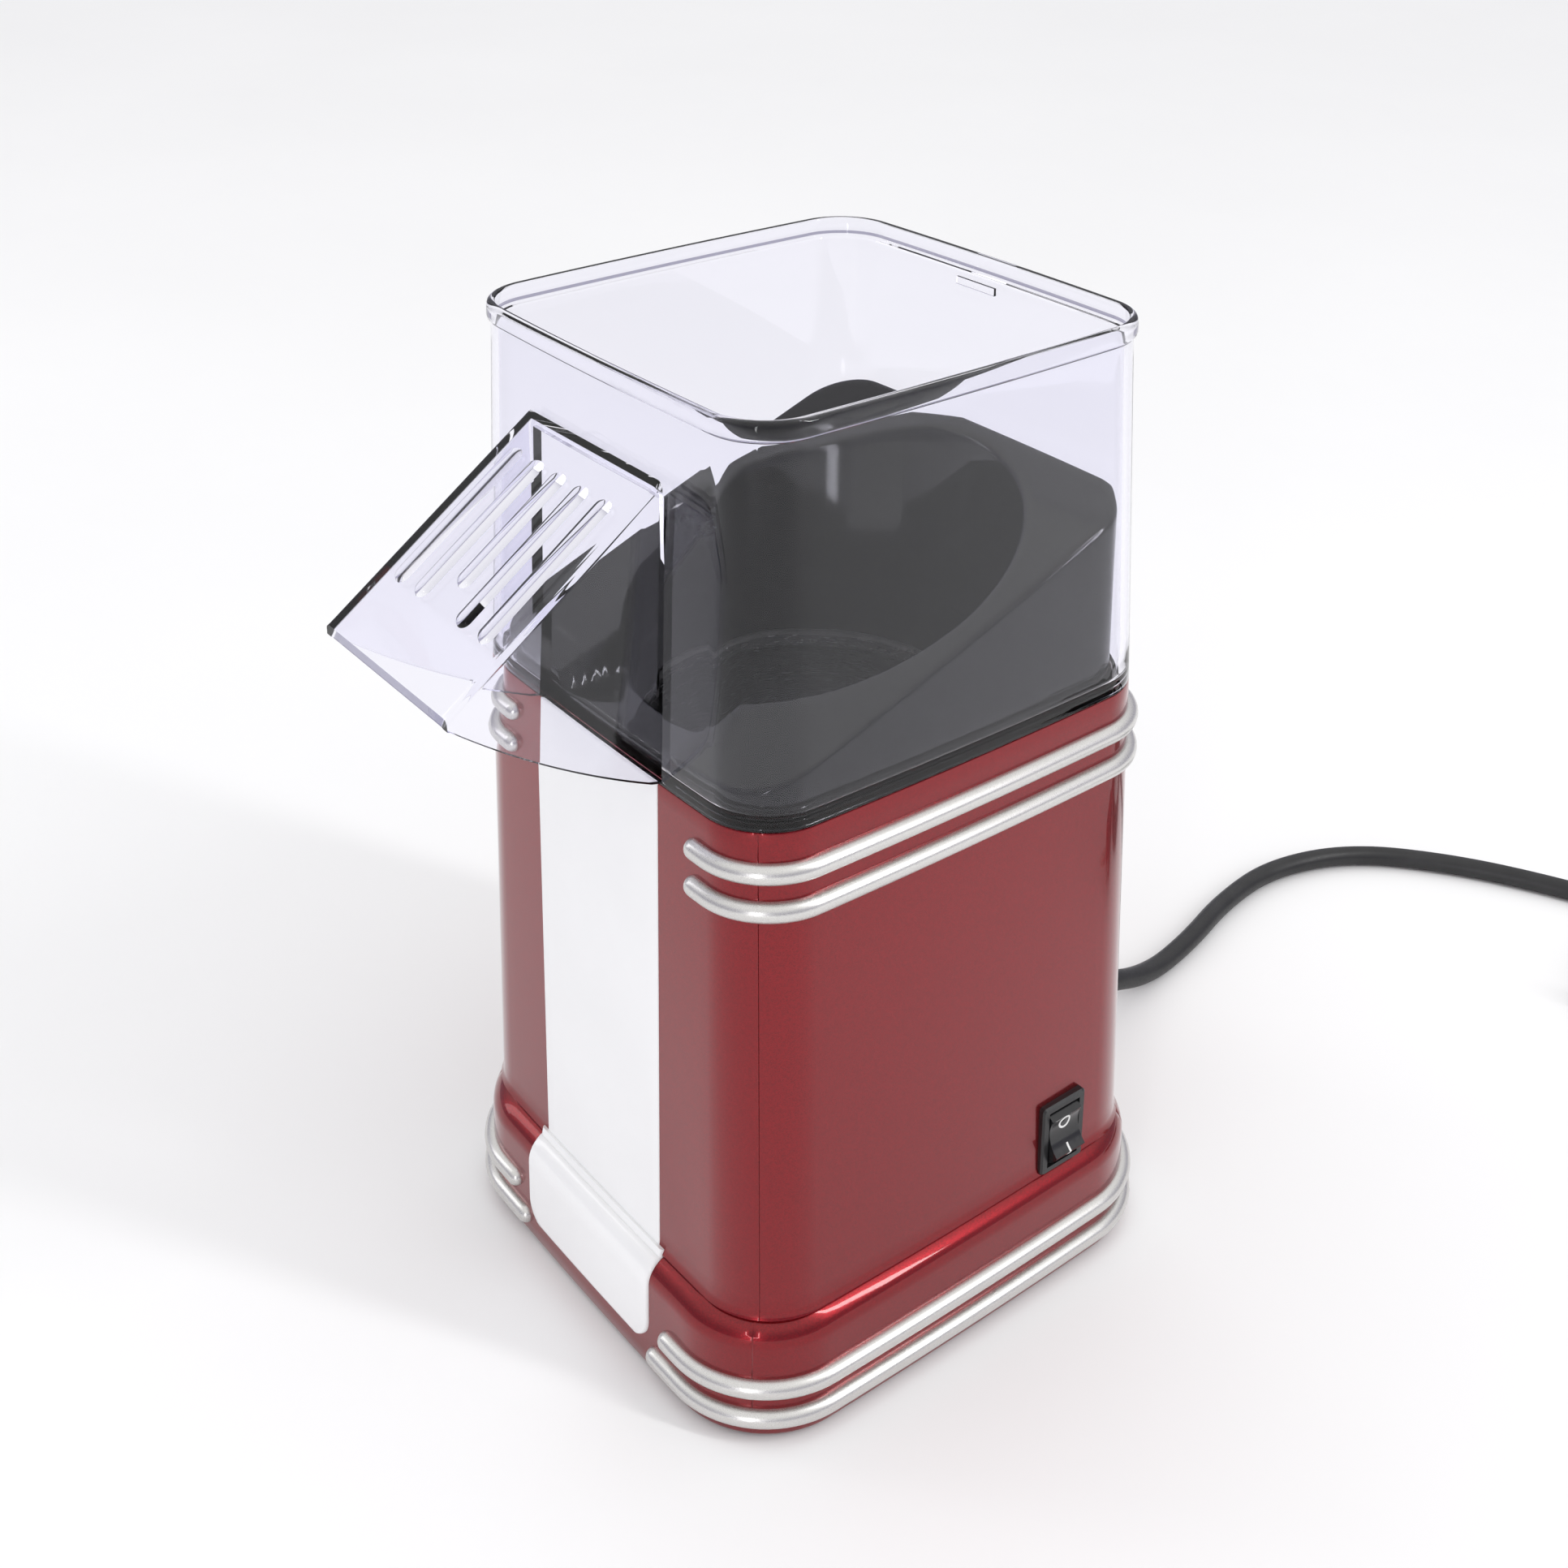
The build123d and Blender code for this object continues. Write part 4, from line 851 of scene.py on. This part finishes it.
def funnel():
    """The black funnel: round well, sloping face, side walls and a foot flange, as one sheet."""
    ring = outline(FUNNEL_HALF, 0.0)
    flange = outline(TOP_OUTLINE, 0.0, -WALL - 0.4)
    count = 300
    well = []
    for i in range(count):
        angle = math.tau * i / count
        edge = ray_to_outline(angle, ring)
        wide = ray_to_outline(angle, flange)
        c, s = math.cos(angle), math.sin(angle)
        column = []
        rim_r = MOUTH_R
        for _ in range(12):
            rim_r = MOUTH_R + WELL_FLARE * (funnel_top(rim_r * c, rim_r * s) - MOUTH_Z)
        rim_z = funnel_top(rim_r * c, rim_r * s)
        for t in steps(0.0, 1.0, 14):
            z = MOUTH_Z + (rim_z - 1.2 - MOUTH_Z) * t
            column.append((MOUTH_R + WELL_FLARE * (z - MOUTH_Z), z))
        column += [(rim_r - 0.02, rim_z - 0.7), (rim_r + 0.3, rim_z - 0.2), (rim_r + 1.0, None)]
        for r in steps(rim_r + 1.6, edge - 2.2, 14)[1:]:
            column.append((r, None))
        turn_r = edge - FUNNEL_EDGE_R
        turn_z = funnel_top(turn_r * c, turn_r * s) - FUNNEL_EDGE_R
        for t in steps(0.2, math.pi / 2, 6):
            column.append((turn_r + FUNNEL_EDGE_R * math.sin(t),
                           turn_z + FUNNEL_EDGE_R * math.cos(t)))
        for z in steps(turn_z - 1.5, FUNNEL_FOOT_Z, 5):
            column.append((edge, z))
        column += [(edge + 0.3, 157.2), (wide - 0.3, 157.0), (wide, 156.7), (wide, 155.2)]
        points = []
        for r, z in column:
            points.append((r * c, r * s, funnel_top(r * c, r * s) if z is None else z))
        well.append(points)
    rings = [[column[k] for column in well] for k in range(len(well[0]))]
    verts, faces = loft(rings, caps=False)
    piece = build("funnel_moulding", verts, faces, BLACK_GLOSS)
    wall = piece.modifiers.new("wall", "SOLIDIFY")
    wall.thickness = FUNNEL_WALL * MM
    wall.offset = 1.0 if faces_inward(piece) else -1.0
    graph = bpy.context.evaluated_depsgraph_get()
    mesh = bpy.data.meshes.new_from_object(piece.evaluated_get(graph))
    piece.modifiers.clear()
    piece.data = mesh
    clean(piece, 40.0)
    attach(piece, "base")
    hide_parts("funnel")


def faces_inward(piece):
    """True if the funnel's sloping face has its normals pointing down."""
    lift = 0.0
    for face in piece.data.polygons:
        if abs(face.normal.z) > 0.8:
            lift += face.normal.z * face.area
    return lift < 0


# Switch marks

def rocker_marks():
    """A ring on the upper, pressed-in half and a bar on the lower half, raised by a hair."""
    middle = (ROCKER_LOW + ROCKER_HIGH) / 2
    y = middle.y - AXIS_Y
    rocker_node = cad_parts["rocker"]
    lift = 0.12

    def on_face(dy, z):
        start = Vector(((ROCKER_HIGH.x + 20) * MM, (y + dy + AXIS_Y) * MM, z * MM))
        hit, place, _, _ = rocker_node.ray_cast(start, Vector((-1, 0, 0)))
        return place.x / MM if hit else middle.x

    ring_z = ROCKER_HIGH.z - 4.6
    ring_r = 1.75
    stroke = 0.32
    rings = []
    for i in range(48):
        t = math.tau * i / 48
        section = []
        for k in range(8):
            a = math.tau * k / 8
            r = ring_r + stroke * math.cos(a)
            face_x = on_face(ring_r * math.cos(t), ring_z + ring_r * math.sin(t))
            section.append((face_x + lift * math.sin(a), y + r * math.cos(t),
                            ring_z + r * math.sin(t)))
        rings.append(section)
    verts, faces = loft(rings, closed=True)
    build("mark_off", verts, faces, MARK_WHITE, "rocker", 60.0)
    bar_z = ROCKER_LOW.z + 4.4
    rings = []
    for z in steps(bar_z - 1.9, bar_z + 1.9, 12):
        x = on_face(0.0, z)
        rings.append([(x + lift * math.sin(a), y + stroke * math.cos(a), z)
                      for a in [math.tau * k / 8 for k in range(8)]])
    verts, faces = loft(rings)
    build("mark_on", verts, faces, MARK_WHITE, "rocker", 60.0)


# Cord, strain relief and plug

def revolve_y(name, profile, x, z, material, body, sharp=40.0):
    """A turned piece about an axis along Y: profile is radius and y."""
    rings = []
    for radius, y in profile:
        turns = [math.tau * i / 40 for i in range(40)]
        rings.append([(x + radius * math.cos(t), y, z + radius * math.sin(t)) for t in turns])
    verts, faces = loft(rings)
    return build(name, verts, faces, material, body, sharp)


def strain_relief():
    """A collar in the skirt and a tapering sleeve cut with ring grooves."""
    back = BASE_OUTLINE[1]
    end = GLAND_HIGH.y - AXIS_Y
    z = (GLAND_LOW.z + GLAND_HIGH.z) / 2
    profile = [(6.6, back - 4.4), (7.2, back - 4.2), (7.2, back - 3.0), (5.5, back - 2.9)]
    profile += [(5.5, back + 0.3), (6.9, back + 0.35), (7.2, back + 0.7), (7.2, back + 1.9)]
    profile += [(6.8, back + 2.3), (5.7, back + 2.5)]
    first = back + 4.0
    count = 7
    pitch = (end - 1.5 - first) / count
    for i in range(count):
        y = first + pitch * i
        radius = 5.6 - (5.6 - 4.2) * (y - back) / (end - back)
        profile += [(radius, y), (radius - 0.1, y + pitch * 0.5), (radius - 0.9, y + pitch * 0.56)]
        profile += [(radius - 0.95, y + pitch * 0.86), (radius - 0.2, y + pitch * 0.92)]
    profile += [(4.3, end - 1.2), (4.2, end - 0.4), (3.9, end)]
    piece = revolve_y("strain_relief", profile, 0.0, z, CORD_BLACK, "base", 28.0)
    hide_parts("cord_gland")
    return piece


def rounded_section(half_x, half_z, corner, count=10):
    """A rounded rectangle in x and z about its own middle."""
    points = []
    for quarter, (sx, sz) in enumerate(((1, 1), (-1, 1), (-1, -1), (1, -1))):
        for i in range(count):
            t = math.radians(quarter * 90 + 90 * i / (count - 1))
            points.append((sx * (half_x - corner) + corner * math.cos(t),
                           sz * (half_z - corner) + corner * math.sin(t)))
    return points


def plug():
    """A flat two-pin plug: its sleeve swells into a waisted body with grip grooves."""
    x = (PLUG_LOW.x + PLUG_HIGH.x) / 2
    z = (PLUG_LOW.z + PLUG_HIGH.z) / 2
    tail = PLUG_HIGH.y - AXIS_Y
    face = PLUG_LOW.y - AXIS_Y
    sleeve_end = tail - 24.0
    sections = [(3.9, 3.9, tail), (4.3, 4.3, tail - 0.5)]
    for i in range(6):
        y = tail - 2.0 - i * 3.2
        r = 4.4 + i * 0.32
        neck = r - 0.8
        sections += [(r, r, y), (r, r, y - 1.5), (neck, neck, y - 1.7), (neck, neck, y - 2.8)]
    sections += [(6.6, 6.4, sleeve_end + 1.5), (9.5, 7.2, sleeve_end - 1.5)]
    sections.append((12.5, 7.9, sleeve_end - 5))
    for i in range(5):
        y = sleeve_end - 8 - i * 2.6
        w = 14.2 + i * 0.25
        sections += [(w, 8.35, y), (w - 0.1, 8.35, y - 1.3)]
        sections += [(w - 0.8, 7.9, y - 1.6), (w - 0.8, 7.9, y - 2.3)]
    sections += [(16.2, 8.4, face + 10), (16.8, 8.45, face + 5), (17.0, 8.45, face + 1.2)]
    sections += [(16.7, 8.2, face + 0.3), (16.0, 7.6, face)]
    rings = []
    for half_x, half_z, y in sections:
        corner = min(half_x - 0.05, half_z - 0.05, 7.0)
        rings.append([(x + px, y, z + pz) for px, pz in rounded_section(half_x, half_z, corner)])
    verts, faces = loft(rings)
    piece = build("mains_plug", verts, faces, CORD_BLACK, "base", 32.0)
    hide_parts("plug_body")
    return piece


def coil_points():
    """The put-away turns, clockwise, two wide and two deep, then the tail into the plug."""
    centre_x = (COIL_LOW.x + COIL_HIGH.x) / 2
    centre_y = (COIL_LOW.y + COIL_HIGH.y) / 2 - AXIS_Y
    points = []
    whole_turns = len(COIL_RADII) - 1
    last = int(COIL_START_DEG / 360 * COIL_TURN_POINTS + whole_turns * COIL_TURN_POINTS)
    for i in range(1, last + 1):
        turns = i / COIL_TURN_POINTS
        index = min(int(turns), whole_turns)
        settle = smooth_step((turns - index) / 0.22)
        before = max(index - 1, 0)
        radius = COIL_RADII[before] + (COIL_RADII[index] - COIL_RADII[before]) * settle
        height = (COIL_HEIGHTS[before]
                  + (COIL_HEIGHTS[index] - COIL_HEIGHTS[before]) * settle)
        angle = math.radians(COIL_START_DEG - 360.0 * turns)
        points.append((centre_x + radius * math.cos(angle),
                       centre_y + radius * math.sin(angle), height))
    tail_x = (PLUG_LOW.x + PLUG_HIGH.x) / 2
    tail_y = PLUG_HIGH.y - AXIS_Y
    tail_z = (PLUG_LOW.z + PLUG_HIGH.z) / 2
    points.append((tail_x - 0.8, tail_y + 8.0, tail_z + 1.0))
    points.append((tail_x, tail_y - 2.0, tail_z))
    return points


def power_cord():
    curve = bpy.data.curves.new("mains_cord", "CURVE")
    curve.dimensions = "3D"
    curve.bevel_depth = CORD_D / 2
    curve.bevel_resolution = 6
    curve.resolution_u = 10
    curve.use_fill_caps = True
    route = [at(x / MM, y / MM, z / MM) for x, y, z in CORD_ROUTE]
    route += [at(*p) for p in coil_points()]
    spline = curve.splines.new("NURBS")
    spline.points.add(len(route) - 1)
    for control, place in zip(spline.points, route):
        control.co = (*place, 1.0)
    spline.order_u = 3
    spline.use_endpoint_u = True
    curve.materials.append(CORD_BLACK)
    piece = bpy.data.objects.new("mains_cord", curve)
    bpy.context.scene.collection.objects.link(piece)
    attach(piece, "base")
    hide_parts("power_cord", "cord_coil")
    tuple(route[0])


# Finishes of the CAD pieces that are shown as they are

CAD_FINISHES = {
    "chamber": CHAMBER_METAL_PAINTED_HIGHLIGHT_AND_SHADE,
    "chamber_seal": SEAL_DARK,
    "duct_sleeve": TIN,
    "duct_screws": SCREW_STEEL,
    "heater_frame": MICA,
    "heater_coil": HEATER_WIRE,
    "thermostat": TIN,
    "thermal_fuse": NICKEL,
    "fan_housing": BLACK_MATTE,
    "motor_bracket": TIN,
    "bracket_screws": SCREW_STEEL,
    "motor_can": SCREW_STEEL,
    "motor_end_cap": BLACK_MATTE,
    "motor_screws": SCREW_STEEL,
    "motor_shaft": SHAFT_STEEL,
    "impeller": BLACK_MATTE,
    "rectifier_board": BOARD,
    "board_diodes": SWITCH_BLACK,
    "base_plate": BLACK_MATTE,
    "base_screws": SCREW_STEEL,
    "foot_pads": RUBBER,
    "switch_bezel": SWITCH_BLACK,
    "rocker": ROCKER_BLACK,
    "switch_terminals": BRASS,
    "wire_to_switch": LEAD_WHITE,
    "wire_to_thermostat": LEAD_WHITE,
    "wire_to_fuse": LEAD_WHITE,
    "cord_inner_end": CORD_BLACK,
    "cord_clamp": BLACK_MATTE,
    "cord_clamp_screws": SCREW_STEEL,
    "coil_tie": SWITCH_BLACK,
    "plug_pins": NICKEL,
}


def finish_cad_nodes():
    for node, material in CAD_FINISHES.items():
        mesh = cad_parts[node].data
        mesh.materials.clear()
        mesh.materials.append(material)


# Studio: the camera's place is in metres about the tower's axis

CAMERA_AT = (0.3562, -0.2831, 0.4103)
CAMERA_AZIMUTH = 52.25
CAMERA_PITCH = 20.78
CAMERA_LENS = 46.58
CAMERA_SHIFT = -0.25
FLOOR_HALF = 3.0
WORLD_LOW = 0.48
HORIZON_TINT = (0.84, 0.82, 1.0, 1.0)
WORLD_HIGH = 1.06


def camera():
    data = bpy.data.cameras.new("camera")
    data.lens = CAMERA_LENS
    data.sensor_width = 36.0
    data.shift_y = CAMERA_SHIFT
    data.clip_start = 0.01
    piece = bpy.data.objects.new("camera", data)
    piece.location = Vector(CAMERA_AT) + Vector((0, AXIS_Y * MM, 0))
    piece.rotation_euler = (math.radians(90 - CAMERA_PITCH), 0, math.radians(CAMERA_AZIMUTH))
    bpy.context.scene.collection.objects.link(piece)
    bpy.context.scene.camera = piece


def area_light(name, place, target, size, power, colour=(1, 1, 1)):
    data = bpy.data.lights.new(name, "AREA")
    data.shape = "RECTANGLE"
    data.size, data.size_y = size
    data.energy = power
    data.color = colour
    piece = bpy.data.objects.new(name, data)
    piece.location = place
    piece.rotation_euler = (Vector(target) - Vector(place)).to_track_quat("-Z", "Y").to_euler()
    bpy.context.scene.collection.objects.link(piece)


def studio():
    world = bpy.data.worlds.new("studio")
    world.use_nodes = True
    nodes = world.node_tree.nodes
    links = world.node_tree.links
    coords = nodes.new("ShaderNodeTexCoord")
    split = nodes.new("ShaderNodeSeparateXYZ")
    links.new(coords.outputs["Generated"], split.inputs["Vector"])
    height = nodes.new("ShaderNodeMapRange")
    height.interpolation_type = "SMOOTHSTEP"
    height.inputs["From Min"].default_value = 0.15
    height.inputs["From Max"].default_value = 0.75
    height.inputs["To Min"].default_value = WORLD_LOW
    height.inputs["To Max"].default_value = WORLD_HIGH
    links.new(split.outputs["Z"], height.inputs["Value"])
    links.new(height.outputs["Result"], nodes["Background"].inputs["Strength"])
    hue = nodes.new("ShaderNodeValToRGB")
    hue.color_ramp.elements[0].position = 0.1
    hue.color_ramp.elements[0].color = HORIZON_TINT
    hue.color_ramp.elements[1].position = 0.6
    hue.color_ramp.elements[1].color = (1.0, 1.0, 1.0, 1.0)
    links.new(split.outputs["Z"], hue.inputs["Fac"])
    links.new(hue.outputs["Color"], nodes["Background"].inputs["Color"])
    bpy.context.scene.world = world
    bpy.context.scene.view_settings.view_transform = "Standard"
    mesh = bpy.data.meshes.new("floor")
    half = FLOOR_HALF
    corners = [(-half, -half, 0), (half, -half, 0), (half, half, 0), (-half, half, 0)]
    mesh.from_pydata(corners, [], [(0, 1, 2, 3)])
    mesh.materials.append(FLOOR)
    floor = bpy.data.objects.new("floor", mesh)
    bpy.context.scene.collection.objects.link(floor)
    area_light("front_strip_box", (0.80, -1.00, 0.22), (0, 0, 0.10), (0.12, 0.9), 3.0)
    area_light("right_softbox", (1.0, 0.55, 0.95), (0, 0, 0.12), (0.09, 1.1), 5.5)
    area_light("left_softbox", (-1.1, -0.8, 0.7), (0, 0, 0.12), (0.3, 0.8), 1.5)


camera()
finish_cad_nodes()
relief_piece = strain_relief()
plug_piece = plug()
power_cord()
housing()
trim_bars()
front_strip()
base_plate_cover()
hood()
funnel()
rocker_marks()
studio()
